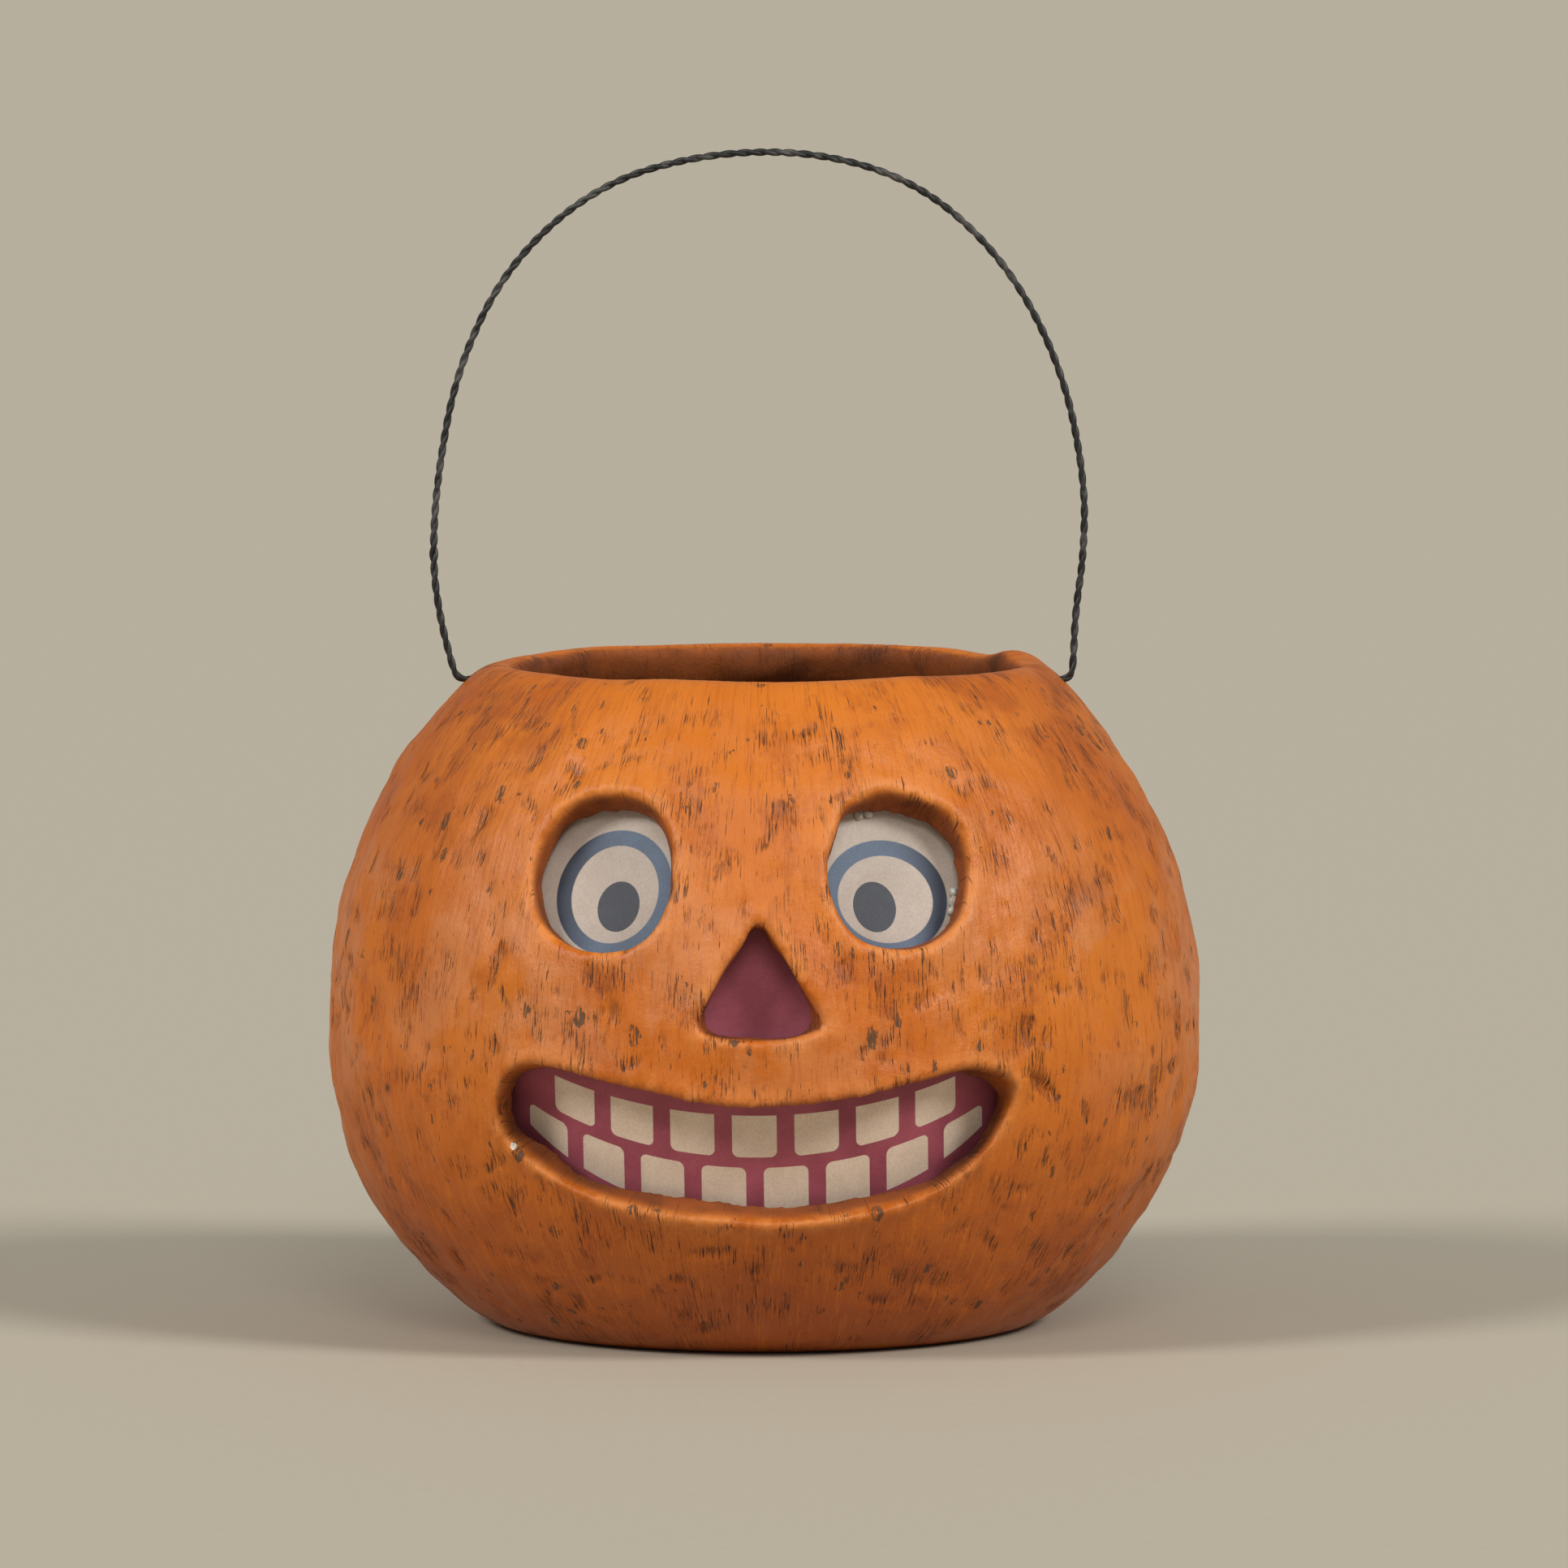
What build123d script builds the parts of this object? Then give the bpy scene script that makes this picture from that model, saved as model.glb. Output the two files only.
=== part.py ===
"""Pumpkin candy pail: a thick papier-mache body with a cut face, printed cards glued behind the face,
and a bail of two twisted wires that swings in two holes below the rim."""

import math
import os

from build123d import *

# Body: two elliptical arcs that meet at the equator
EQUATOR_RADIUS = 108.2
EQUATOR_HEIGHT = 73.0
RIM_RADIUS = 69.5
RIM_HEIGHT = 163.0
BASE_RADIUS = 68.2
WALL = 8.0
FLOOR = 8.0
RIM_OUTER_ROUND = 5.0
RIM_INNER_ROUND = 3.5
RIM_OUTER_MOST = 0.45  # most of the rim's width that a round takes
RIM_INNER_MOST = 0.3
FOOT_ROUND = 6.0
FLOOR_ROUND = 6.0

# Face holes, placed across the face from its middle, positive to the right
LEFT_EYE_ACROSS = -39.4
RIGHT_EYE_ACROSS = 32.8
EYE_LIFT = 1.5
EYE_WIDTH = 33.5
EYE_LENGTH = 39.0
EYE_LEAN = -8.0
EYE_EDGE_ROUND = 1.6
NOSE_ACROSS = -1.5
NOSE_LIFT = 20.0
NOSE_WIDTH = 28.0
NOSE_RISE = 14.0
NOSE_DROP = 11.5
NOSE_CORNER = 2.5

# Mouth, drawn on a plane that touches the equator and carried to the axis at the face centre
FACE_CENTRE_LIFT = 5.0
MOUTH_ACROSS = -4.35
MOUTH_HALF_WIDTH = 73.5
MOUTH_BEND_HALF_WIDTH = 62.5
UPPER_LIP_DROP = 14.5
UPPER_BEND_DROP = 8.2
CORNER_DROP = 20.0
LOWER_BEND_DROP = 34.6
LOWER_LIP_DROP = 44.8

# Cards
CARD = 0.6
CARD_GAP = 0.3
EYE_CARD_MARGIN = 4.5
NOSE_CARD_MARGIN = 4.0
MOUTH_CARD_LOW_MARGIN = 5.2
MOUTH_CARD_HIGH_MARGIN = 4.2
MOUTH_CARD_SIDE_MARGIN = 20.4
SEAT_STEP = 0.05

# Glue dabs
GLUE_RADIUS = 3.4
GLUE_CLEARANCE = 0.05
EYE_DABS = 4
EYE_DAB_SPREAD = 240.0  # degrees of the card's edge that the dabs share, on the side away from the nose
LEFT_EYE_DAB_START = 40.0
RIGHT_EYE_DAB_START = -40.0
MOUTH_DABS = 4
MOUTH_DAB_STEP = 26.0

# Bail
STRAND_RADIUS = 0.52
STRAND_GAP = 0.06
TWIST_PITCH = 7.6
STATIONS_PER_HALF_TURN = 2
TANGENT_STEP = 0.01
PIVOT_DROP = 4.0
PIVOT_HOLE_CLEARANCE = 0.55
LEG_STANDOFF = 2.4
LEG_BEND = 2.2
KNEE_RISE = 17.0
LEFT_KNEE_SPREAD = 5.4
RIGHT_KNEE_SPREAD = 2.0
ARCH_START_RISE = 34.0
ARCH_RISE = 95.5
ARCH_SPREAD = 4.75
ARCH_SHIFT = -1.2
ARCH_FULLNESS = 0.92
ARCH_STEP = 15
TAIL_INSET = 6.5
TAIL_BEND = 1.8
TAIL_LENGTH = 4.0

# Worked out from the sizes above
CROWN_SEMI_AXIS = (RIM_HEIGHT - EQUATOR_HEIGHT) / math.sqrt(1 - (RIM_RADIUS / EQUATOR_RADIUS) ** 2)
BELLY_SEMI_AXIS = EQUATOR_HEIGHT / math.sqrt(1 - (BASE_RADIUS / EQUATOR_RADIUS) ** 2)
EYE_HEIGHT = (EQUATOR_HEIGHT + RIM_HEIGHT) / 2 + EYE_LIFT
EYE_CARD_RADIUS = EYE_LENGTH / 2 + EYE_CARD_MARGIN
NOSE_HEIGHT = EQUATOR_HEIGHT + NOSE_LIFT
FACE_CENTRE_HEIGHT = EQUATOR_HEIGHT + FACE_CENTRE_LIFT
MOUTH_AZIMUTH = math.degrees(MOUTH_ACROSS / EQUATOR_RADIUS)
MOUTH_CARD_LOW = FACE_CENTRE_HEIGHT - LOWER_LIP_DROP - MOUTH_CARD_LOW_MARGIN
MOUTH_CARD_HIGH = FACE_CENTRE_HEIGHT - UPPER_BEND_DROP + MOUTH_CARD_HIGH_MARGIN
MOUTH_CARD_HALF_SWEEP = math.degrees(
    math.atan2(MOUTH_HALF_WIDTH, EQUATOR_RADIUS) + MOUTH_CARD_SIDE_MARGIN / EQUATOR_RADIUS
)
PIVOT_HEIGHT = RIM_HEIGHT - PIVOT_DROP
LAY_RADIUS = STRAND_RADIUS + STRAND_GAP / 2
PAIR_RADIUS = LAY_RADIUS + STRAND_RADIUS


def body_radius(height, inset=0.0):
    """Radius at a height of the body's outer face, or of the face that lies inset from it."""
    semi_axis = CROWN_SEMI_AXIS if height > EQUATOR_HEIGHT else BELLY_SEMI_AXIS
    share = (height - EQUATOR_HEIGHT) / (semi_axis - inset)
    return (EQUATOR_RADIUS - inset) * math.sqrt(1 - share**2)


def body_arc(height, inset=0.0):
    """The curve of the body's profile from the equator to a height, one cubic for the elliptical arc."""
    across = EQUATOR_RADIUS - inset
    up = (CROWN_SEMI_AXIS if height > EQUATOR_HEIGHT else BELLY_SEMI_AXIS) - inset
    angle = math.asin((height - EQUATOR_HEIGHT) / up)
    cosine, sine, reach = math.cos(angle), math.sin(angle), 4 / 3 * math.tan(angle / 4)
    return Bezier(
        (across, EQUATOR_HEIGHT),
        (across, EQUATOR_HEIGHT + up * reach),
        (across * (cosine + reach * sine), EQUATOR_HEIGHT + up * (sine - reach * cosine)),
        (across * cosine, height),
    )


def face_plane(across, height):
    """The plane that touches the body's outer face, its y axis up the slope and its z axis outward."""
    radius = body_radius(height)
    turn = across / radius
    rise = math.atan2((height - EQUATOR_HEIGHT) / CROWN_SEMI_AXIS**2, radius / EQUATOR_RADIUS**2)
    return Plane(
        origin=(radius * math.sin(turn), -radius * math.cos(turn), height),
        x_dir=(math.cos(turn), math.sin(turn), 0),
        z_dir=(math.cos(rise) * math.sin(turn), -math.cos(rise) * math.cos(turn), math.sin(rise)),
    )


def seat_plane(plane, outline):
    """The plane moved inward until a flat card with this outline just clears the inner wall."""
    depth = WALL
    while any(
        math.hypot(point.X, point.Y) > body_radius(point.Z, WALL + CARD_GAP)
        for point in (plane.offset(-depth).from_local_coords(corner) for corner in outline)
    ):
        depth += SEAT_STEP
    return plane.offset(-depth)


def circle_outline(radius):
    """Points round a circle, for the seat of a round card."""
    return [
        (radius * math.cos(math.radians(step)), radius * math.sin(math.radians(step)), 0)
        for step in range(0, 360, 10)
    ]


def radial_plane(azimuth):
    """The upright plane through the axis, its x axis outward at the azimuth and its y axis up."""
    turn = math.radians(azimuth)
    return Plane(
        origin=(0, 0, 0),
        x_dir=(math.sin(turn), -math.cos(turn), 0),
        z_dir=(-math.cos(turn), -math.sin(turn), 0),
    )


def mouth_plane(distance):
    """The upright plane at a distance in front of the axis, with its origin at the face centre."""
    turn = math.radians(MOUTH_AZIMUTH)
    return Plane(
        origin=(distance * math.sin(turn), -distance * math.cos(turn), FACE_CENTRE_HEIGHT),
        x_dir=(math.cos(turn), math.sin(turn), 0),
        z_dir=(math.sin(turn), -math.cos(turn), 0),
    )


def mouth_arcs(scale):
    """The four arcs of the smile, scaled from the plane that touches the equator."""
    bend = MOUTH_BEND_HALF_WIDTH * scale
    corner = MOUTH_HALF_WIDTH * scale
    upper, lower = -UPPER_BEND_DROP * scale, -LOWER_BEND_DROP * scale
    ThreePointArc((-bend, upper), (0, -UPPER_LIP_DROP * scale), (bend, upper))
    ThreePointArc((bend, upper), (corner, -CORNER_DROP * scale), (bend, lower))
    ThreePointArc((bend, lower), (0, -LOWER_LIP_DROP * scale), (-bend, lower))
    ThreePointArc((-bend, lower), (-corner, -CORNER_DROP * scale), (-bend, upper))


def on_outer_face(edge):
    """Whether an edge lies nearer the body's outer face than its inner face."""
    centre = edge.center(CenterOf.BOUNDING_BOX)
    return math.hypot(centre.X, centre.Y) > body_radius(centre.Z, WALL / 2)


def arch_point(half_width, angle):
    """A corner of the bail's arch, counted in degrees from its right side over the top."""
    across, up = math.cos(math.radians(angle)), math.sin(math.radians(angle))
    return (
        ARCH_SHIFT + half_width * math.copysign(abs(across) ** ARCH_FULLNESS, across),
        PIVOT_HEIGHT + ARCH_START_RISE + ARCH_RISE * abs(up) ** ARCH_FULLNESS,
    )


def bend_radius(before, corner, after):
    """The radius at a corner that leaves both of its runs a short straight length."""
    turn = (Vector(corner) - Vector(before)).get_angle(Vector(after) - Vector(corner))
    run = min(math.dist(before, corner), math.dist(corner, after))
    return 0.47 * run / math.tan(math.radians(turn) / 2)


def strand_point(line, along, half_turns, side):
    """A point on one strand, at a length along the bail's centre line."""
    way = line.tangent_at(along, position_mode=PositionMode.LENGTH)
    turn = math.pi * half_turns * along / line.length
    across = Vector(0, math.cos(turn), 0) + Vector(-way.Z, 0, way.X) * math.sin(turn)
    return line.position_at(along, position_mode=PositionMode.LENGTH) + across * (side * LAY_RADIUS)


def biarc(start, start_way, end, end_way):
    """Two arcs that join two points and keep the given directions at both."""
    reach = end - start
    along = reach.dot(start_way + end_way)
    spread = 2 * (1 - start_way.dot(end_way))
    length = (math.sqrt(along**2 + spread * reach.dot(reach)) - along) / spread
    knee = (start + end + (start_way - end_way) * length) / 2
    return [
        TangentArc(start, knee, tangent=start_way, mode=Mode.PRIVATE),
        TangentArc(knee, end, tangent=end_way * -1, tangent_from_first=False, mode=Mode.PRIVATE),
    ]


def strand_path(line, side):
    """The path of one strand: a tail spread inside the pail, the twisted length, and the other tail."""
    half_turns = round(2 * line.length / TWIST_PITCH)
    count = half_turns * STATIONS_PER_HALF_TURN
    places = [line.length * index / count for index in range(count + 1)]
    points = [strand_point(line, along, half_turns, side) for along in places]
    ways = [
        (
            strand_point(line, min(along + TANGENT_STEP, line.length), half_turns, side)
            - strand_point(line, max(along - TANGENT_STEP, 0), half_turns, side)
        ).normalized()
        for along in places
    ]
    first_spread = Vector(0, side, 0)
    last_spread = first_spread * (-1) ** half_turns
    points.insert(0, points[0] + (first_spread - line % 0) * TAIL_BEND)
    points.append(points[-1] + (last_spread + line % 1) * TAIL_BEND)
    ways = [first_spread * -1, *ways, last_spread]
    arcs = [Line(points[0] + first_spread * TAIL_LENGTH, points[0], mode=Mode.PRIVATE)]
    for start, start_way, end, end_way in zip(points, ways, points[1:], ways[1:]):
        arcs += biarc(start, start_way, end, end_way)
    arcs.append(Line(points[-1], points[-1] + last_spread * TAIL_LENGTH, mode=Mode.PRIVATE))
    return Wire(arcs)


left_eye_plane = face_plane(LEFT_EYE_ACROSS, EYE_HEIGHT)
right_eye_plane = face_plane(RIGHT_EYE_ACROSS, EYE_HEIGHT)
nose_plane = face_plane(NOSE_ACROSS, NOSE_HEIGHT)
nose_corners = [(-NOSE_WIDTH / 2, -NOSE_DROP), (NOSE_WIDTH / 2, -NOSE_DROP), (0, NOSE_RISE)]
os.makedirs("parts", exist_ok=True)

# Cutters for the face
with BuildPart() as left_eye_cutter:
    with BuildSketch(left_eye_plane):
        Ellipse(EYE_WIDTH / 2, EYE_LENGTH / 2, rotation=EYE_LEAN)
    extrude(amount=2 * WALL, both=True)

with BuildPart() as right_eye_cutter:
    with BuildSketch(right_eye_plane):
        Ellipse(EYE_WIDTH / 2, EYE_LENGTH / 2, rotation=-EYE_LEAN)
    extrude(amount=2 * WALL, both=True)

with BuildPart() as nose_cutter:
    with BuildSketch(nose_plane) as nose_outline:
        Polygon(*nose_corners, align=None)
        fillet(nose_outline.vertices(), NOSE_CORNER)
    extrude(amount=2 * WALL, both=True)

with BuildPart() as mouth_cutter:
    for reach in (0.5, 1.3):
        with BuildSketch(mouth_plane(reach * EQUATOR_RADIUS)):
            with BuildLine():
                mouth_arcs(reach)
            make_face()
    loft(ruled=True)

# Pail shell
with BuildPart() as pail_shell:
    with BuildSketch(Plane.YZ):
        with BuildLine():
            belly = body_arc(0)
            crown = body_arc(RIM_HEIGHT)
            inner_belly = body_arc(FLOOR, WALL)
            inner_crown = body_arc(RIM_HEIGHT, WALL)
            Line(crown @ 1, inner_crown @ 1)
            Polyline(inner_belly @ 1, (0, FLOOR), (0, 0), belly @ 1)
        make_face()
    revolve(axis=Axis.Z)
    rim_width = RIM_RADIUS - body_radius(RIM_HEIGHT, WALL)
    rings = pail_shell.edges().filter_by(GeomType.CIRCLE).group_by(Axis.Z)
    fillet(rings[-1].sort_by(SortBy.RADIUS)[0], min(RIM_INNER_ROUND, RIM_INNER_MOST * rim_width))
    rings = pail_shell.edges().filter_by(GeomType.CIRCLE).group_by(Axis.Z)
    fillet(rings[-1].sort_by(SortBy.RADIUS)[-1], min(RIM_OUTER_ROUND, RIM_OUTER_MOST * rim_width))
    fillet(rings[0], FOOT_ROUND)
    fillet(rings[1], FLOOR_ROUND)
    for cutter in (left_eye_cutter, right_eye_cutter):
        add(cutter.part, mode=Mode.SUBTRACT)
        fillet(pail_shell.edges(Select.LAST).filter_by(on_outer_face), EYE_EDGE_ROUND)
    for cutter in (nose_cutter, mouth_cutter):
        add(cutter.part, mode=Mode.SUBTRACT)
    with BuildSketch(Plane.YZ):
        with Locations((0, PIVOT_HEIGHT)):
            Circle(PAIR_RADIUS + PIVOT_HOLE_CLEARANCE)
    extrude(amount=EQUATOR_RADIUS, both=True, mode=Mode.SUBTRACT)
pail_shell.part.label = "pail_shell"
export_step(pail_shell.part, "parts/pail_shell.step")

# Inside of the pail, which trims the glue
with BuildPart() as cavity:
    with BuildSketch(Plane.YZ):
        with BuildLine():
            belly = body_arc(FLOOR, WALL + GLUE_CLEARANCE)
            crown = body_arc(RIM_HEIGHT, WALL + GLUE_CLEARANCE)
            Polyline(crown @ 1, (0, RIM_HEIGHT), (0, FLOOR), belly @ 1)
        make_face()
    revolve(axis=Axis.Z)

# Eye cards and their glue
left_eye_seat = seat_plane(left_eye_plane, circle_outline(EYE_CARD_RADIUS))
with BuildPart() as left_eye_card:
    with BuildSketch(left_eye_seat):
        Circle(EYE_CARD_RADIUS)
    extrude(amount=-CARD)
left_eye_card.part.label = "left_eye_card"
export_step(left_eye_card.part, "parts/left_eye_card.step")

with BuildPart() as left_eye_glue:
    with Locations(left_eye_seat.offset(-CARD - GLUE_CLEARANCE)):
        with PolarLocations(EYE_CARD_RADIUS, EYE_DABS, LEFT_EYE_DAB_START, EYE_DAB_SPREAD):
            Sphere(GLUE_RADIUS, arc_size1=-90, arc_size2=0, align=None)
    add(cavity.part, mode=Mode.INTERSECT)
left_eye_glue.part.label = "left_eye_glue"
export_step(left_eye_glue.part, "parts/left_eye_glue.step")

right_eye_seat = seat_plane(right_eye_plane, circle_outline(EYE_CARD_RADIUS))
with BuildPart() as right_eye_card:
    with BuildSketch(right_eye_seat):
        Circle(EYE_CARD_RADIUS)
    extrude(amount=-CARD)
right_eye_card.part.label = "right_eye_card"
export_step(right_eye_card.part, "parts/right_eye_card.step")

with BuildPart() as right_eye_glue:
    with Locations(right_eye_seat.offset(-CARD - GLUE_CLEARANCE)):
        with PolarLocations(EYE_CARD_RADIUS, EYE_DABS, RIGHT_EYE_DAB_START, EYE_DAB_SPREAD):
            Sphere(GLUE_RADIUS, arc_size1=-90, arc_size2=0, align=None)
    add(cavity.part, mode=Mode.INTERSECT)
right_eye_glue.part.label = "right_eye_glue"
export_step(right_eye_glue.part, "parts/right_eye_glue.step")

# Nose card and its glue
nose_card_half_width = NOSE_WIDTH / 2 + NOSE_CARD_MARGIN
nose_card_corners = [
    (-nose_card_half_width, -NOSE_DROP - NOSE_CARD_MARGIN, 0),
    (nose_card_half_width, -NOSE_DROP - NOSE_CARD_MARGIN, 0),
    (0, NOSE_RISE + NOSE_CARD_MARGIN, 0),
]
nose_seat = seat_plane(nose_plane, nose_card_corners)
with BuildPart() as nose_card:
    with BuildSketch(nose_seat):
        Polygon(*nose_corners, align=None)
        offset(amount=NOSE_CARD_MARGIN)
    extrude(amount=-CARD)
nose_card.part.label = "nose_card"
export_step(nose_card.part, "parts/nose_card.step")

with BuildPart() as nose_glue:
    with Locations(nose_seat.offset(-CARD - GLUE_CLEARANCE)):
        with Locations(*nose_corners):
            Sphere(GLUE_RADIUS, arc_size1=-90, arc_size2=0, align=None)
    add(cavity.part, mode=Mode.INTERSECT)
nose_glue.part.label = "nose_glue"
export_step(nose_glue.part, "parts/nose_glue.step")

# Mouth card, bent round the wall, and its glue
low_radius = body_radius(MOUTH_CARD_LOW, WALL + CARD_GAP)
high_radius = body_radius(MOUTH_CARD_HIGH, WALL + CARD_GAP)
with BuildPart() as mouth_card:
    with BuildSketch(radial_plane(MOUTH_AZIMUTH - MOUTH_CARD_HALF_SWEEP)):
        Polygon(
            (low_radius, MOUTH_CARD_LOW),
            (high_radius, MOUTH_CARD_HIGH),
            (high_radius - CARD, MOUTH_CARD_HIGH),
            (low_radius - CARD, MOUTH_CARD_LOW),
            align=None,
        )
    revolve(axis=Axis.Z, revolution_arc=2 * MOUTH_CARD_HALF_SWEEP)
mouth_card.part.label = "mouth_card"
export_step(mouth_card.part, "parts/mouth_card.step")

with BuildPart() as mouth_front:
    with BuildSketch(Plane.YZ):
        Polygon(
            (EQUATOR_RADIUS, MOUTH_CARD_LOW),
            (EQUATOR_RADIUS, MOUTH_CARD_HIGH),
            (high_radius - CARD - GLUE_CLEARANCE, MOUTH_CARD_HIGH),
            (low_radius - CARD - GLUE_CLEARANCE, MOUTH_CARD_LOW),
            align=None,
        )
    revolve(axis=Axis.Z)

with BuildPart() as mouth_glue:
    for index in range(MOUTH_DABS):
        with Locations(radial_plane(MOUTH_AZIMUTH + MOUTH_DAB_STEP * (index - (MOUTH_DABS - 1) / 2))):
            with Locations((low_radius - CARD, MOUTH_CARD_LOW), (high_radius - CARD, MOUTH_CARD_HIGH)):
                Sphere(GLUE_RADIUS)
    add(cavity.part, mode=Mode.INTERSECT)
    add(mouth_front.part, mode=Mode.SUBTRACT)
mouth_glue.part.label = "mouth_glue"
export_step(mouth_glue.part, "parts/mouth_glue.step")

# Bail
foot = body_radius(PIVOT_HEIGHT) + LEG_STANDOFF
tail_root = body_radius(PIVOT_HEIGHT, WALL) - TAIL_INSET
bail_corners = [
    (-tail_root, PIVOT_HEIGHT),
    (-foot, PIVOT_HEIGHT),
    (-foot - LEFT_KNEE_SPREAD, PIVOT_HEIGHT + KNEE_RISE),
    *(arch_point(foot + ARCH_SPREAD, angle) for angle in range(180, -1, -ARCH_STEP)),
    (foot + RIGHT_KNEE_SPREAD, PIVOT_HEIGHT + KNEE_RISE),
    (foot, PIVOT_HEIGHT),
    (tail_root, PIVOT_HEIGHT),
]
bends = [bend_radius(*trio) for trio in zip(bail_corners, bail_corners[1:], bail_corners[2:])]
bends[0] = bends[-1] = LEG_BEND
with BuildLine(Plane.XZ) as bail_line:
    FilletPolyline(*bail_corners, radius=bends)
centre_line = bail_line.wire()

with BuildPart() as bail_wire_a:
    with BuildLine() as path_a:
        add(strand_path(centre_line, 1))
    with BuildSketch(Plane(origin=path_a.wire() @ 0, z_dir=path_a.wire() % 0)):
        Circle(STRAND_RADIUS)
    sweep(path=path_a.wire())
bail_wire_a.part.label = "bail_wire_a"
export_step(bail_wire_a.part, "parts/bail_wire_a.step")

with BuildPart() as bail_wire_b:
    with BuildLine() as path_b:
        add(strand_path(centre_line, -1))
    with BuildSketch(Plane(origin=path_b.wire() @ 0, z_dir=path_b.wire() % 0)):
        Circle(STRAND_RADIUS)
    sweep(path=path_b.wire())
bail_wire_b.part.label = "bail_wire_b"
export_step(bail_wire_b.part, "parts/bail_wire_b.step")
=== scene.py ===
"""Pumpkin candy pail: the hand-moulded body, its printed cards and glue, and the twisted wire bail."""

import math
import random
from functools import partial

import bpy
import numpy as np
from mathutils import Euler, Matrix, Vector, noise


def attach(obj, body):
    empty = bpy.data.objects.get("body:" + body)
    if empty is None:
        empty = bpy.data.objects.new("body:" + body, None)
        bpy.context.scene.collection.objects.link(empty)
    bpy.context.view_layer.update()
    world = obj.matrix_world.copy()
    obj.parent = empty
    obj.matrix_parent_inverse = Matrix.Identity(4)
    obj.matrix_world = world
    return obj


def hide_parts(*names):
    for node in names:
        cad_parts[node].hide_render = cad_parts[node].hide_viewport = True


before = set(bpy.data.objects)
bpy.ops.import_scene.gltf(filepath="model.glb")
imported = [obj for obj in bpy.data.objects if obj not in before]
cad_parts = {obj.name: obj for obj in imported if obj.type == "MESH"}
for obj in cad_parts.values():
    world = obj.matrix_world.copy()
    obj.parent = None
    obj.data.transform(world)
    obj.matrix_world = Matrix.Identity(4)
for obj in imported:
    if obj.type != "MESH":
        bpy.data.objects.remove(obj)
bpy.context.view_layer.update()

MM = 0.001

# Body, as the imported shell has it
EQUATOR_RADIUS = 108.2 * MM
EQUATOR_HEIGHT = 73 * MM
RIM_RADIUS = 69.5 * MM
RIM_HEIGHT = 163 * MM
BASE_RADIUS = 68.2 * MM
WALL = 8 * MM
FLOOR = 8 * MM
CROWN_SEMI_AXIS = (RIM_HEIGHT - EQUATOR_HEIGHT) / math.sqrt(1 - (RIM_RADIUS / EQUATOR_RADIUS) ** 2)
BELLY_SEMI_AXIS = EQUATOR_HEIGHT / math.sqrt(1 - (BASE_RADIUS / EQUATOR_RADIUS) ** 2)

# Face: places round the body from the middle of its front, positive to the right, and heights
LEFT_EYE_ACROSS = -39.4 * MM
RIGHT_EYE_ACROSS = 32.8 * MM
EYE_HEIGHT = 119.5 * MM
NOSE_ACROSS = -1.5 * MM
NOSE_HEIGHT = 93 * MM
FACE_CENTRE_HEIGHT = 78 * MM
MOUTH_AZIMUTH = math.radians(-2.3)

# Hand-cut outlines of the holes in the outer face and where they come out inside, counter-clockwise, in mm on
# a plane that touches the body at the eye or nose, or for the mouth in front of the face's centre
LEFT_EYE_HOLE = [
    (-1, 20.2), (-7.2, 19.5), (-12.6, 16.2), (-17, 9.5), (-19, 1.6), (-17.9, -6.5), (-14.1, -13.4),
    (-7.5, -17.9), (1, -19.6), (10, -18), (15.3, -12.9), (17.6, -4), (16.6, 6.5), (12.8, 14.3), (6.8, 18.8),
]
LEFT_EYE_INSIDE = [
    (-2.5, 17.6), (-8.2, 16.8), (-15.7, 12.9), (-18.6, 5.5), (-19.6, -1.6), (-17, -8.4), (-12, -14.1),
    (-4.5, -17.6), (3, -18), (10, -14.6), (13.8, -6), (13.2, 3.5), (10, 12.5), (4, 17.2),
]
RIGHT_EYE_HOLE = [
    (0, 21.3), (-5.8, 19.5), (-11.1, 16.9), (-13.8, 11.7), (-16.6, 5), (-17.6, -2), (-15.8, -10.1),
    (-11.4, -16.2), (-3.9, -18.8), (4, -18.5), (11.4, -14.7), (16.2, -9), (18.6, 0), (18.9, 7.5),
    (16.2, 14.7), (9.9, 18.3),
]
RIGHT_EYE_INSIDE = [
    (2.2, 17), (-4, 17.3), (-9, 15.6), (-12.4, 9.6), (-14.4, 3.1), (-14.2, -4), (-11.8, -10.5), (-7, -15),
    (-0.8, -16.2), (5.9, -15.3), (11.7, -12.3), (15.2, -7.1), (17.4, -1.2), (17.3, 6.2), (14.3, 12.6),
    (9, 15.2),
]
NOSE_HOLE = [
    (-0.8, 15.3), (-4, 9.9), (-8.2, 4), (-11.4, -2.4), (-14.5, -9.2), (-12.6, -11), (-5.7, -12.3),
    (4.2, -12.5), (12.7, -11), (16.2, -8.8), (13, -3.3), (9.5, 2.1), (6.3, 7.5), (3.6, 12.2), (0.8, 15),
]
NOSE_INSIDE = [
    (-0.9, 15.2), (-4.6, 9.4), (-8, 3.6), (-10.8, -1.4), (-12.4, -6.4), (-11, -9.3), (-5.8, -10.8),
    (3.6, -11.2), (9.7, -9.8), (11.6, -5.6), (8.5, 2.1), (5.5, 7.5), (2.3, 10.9), (0.6, 14),
]
MOUTH_HOLE = [
    (-72.6, -19.3), (-71.1, -27.7), (-63.1, -33.3), (-52.4, -37.6), (-40.2, -40.9), (-23, -43.7),
    (-4.6, -44.7), (14, -45.2), (34.7, -43.8), (50.4, -41), (62.9, -34.4), (71, -27), (76.2, -19.2),
    (78.6, -13), (73.9, -8.9), (66, -6.5), (57, -6.2), (45.7, -8.6), (27.6, -11.6), (7.7, -13.6),
    (-8, -13.2), (-22.2, -10.8), (-37.3, -8.6), (-50, -6), (-58.8, -5.4), (-66.5, -8), (-70.8, -13),
]
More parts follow.
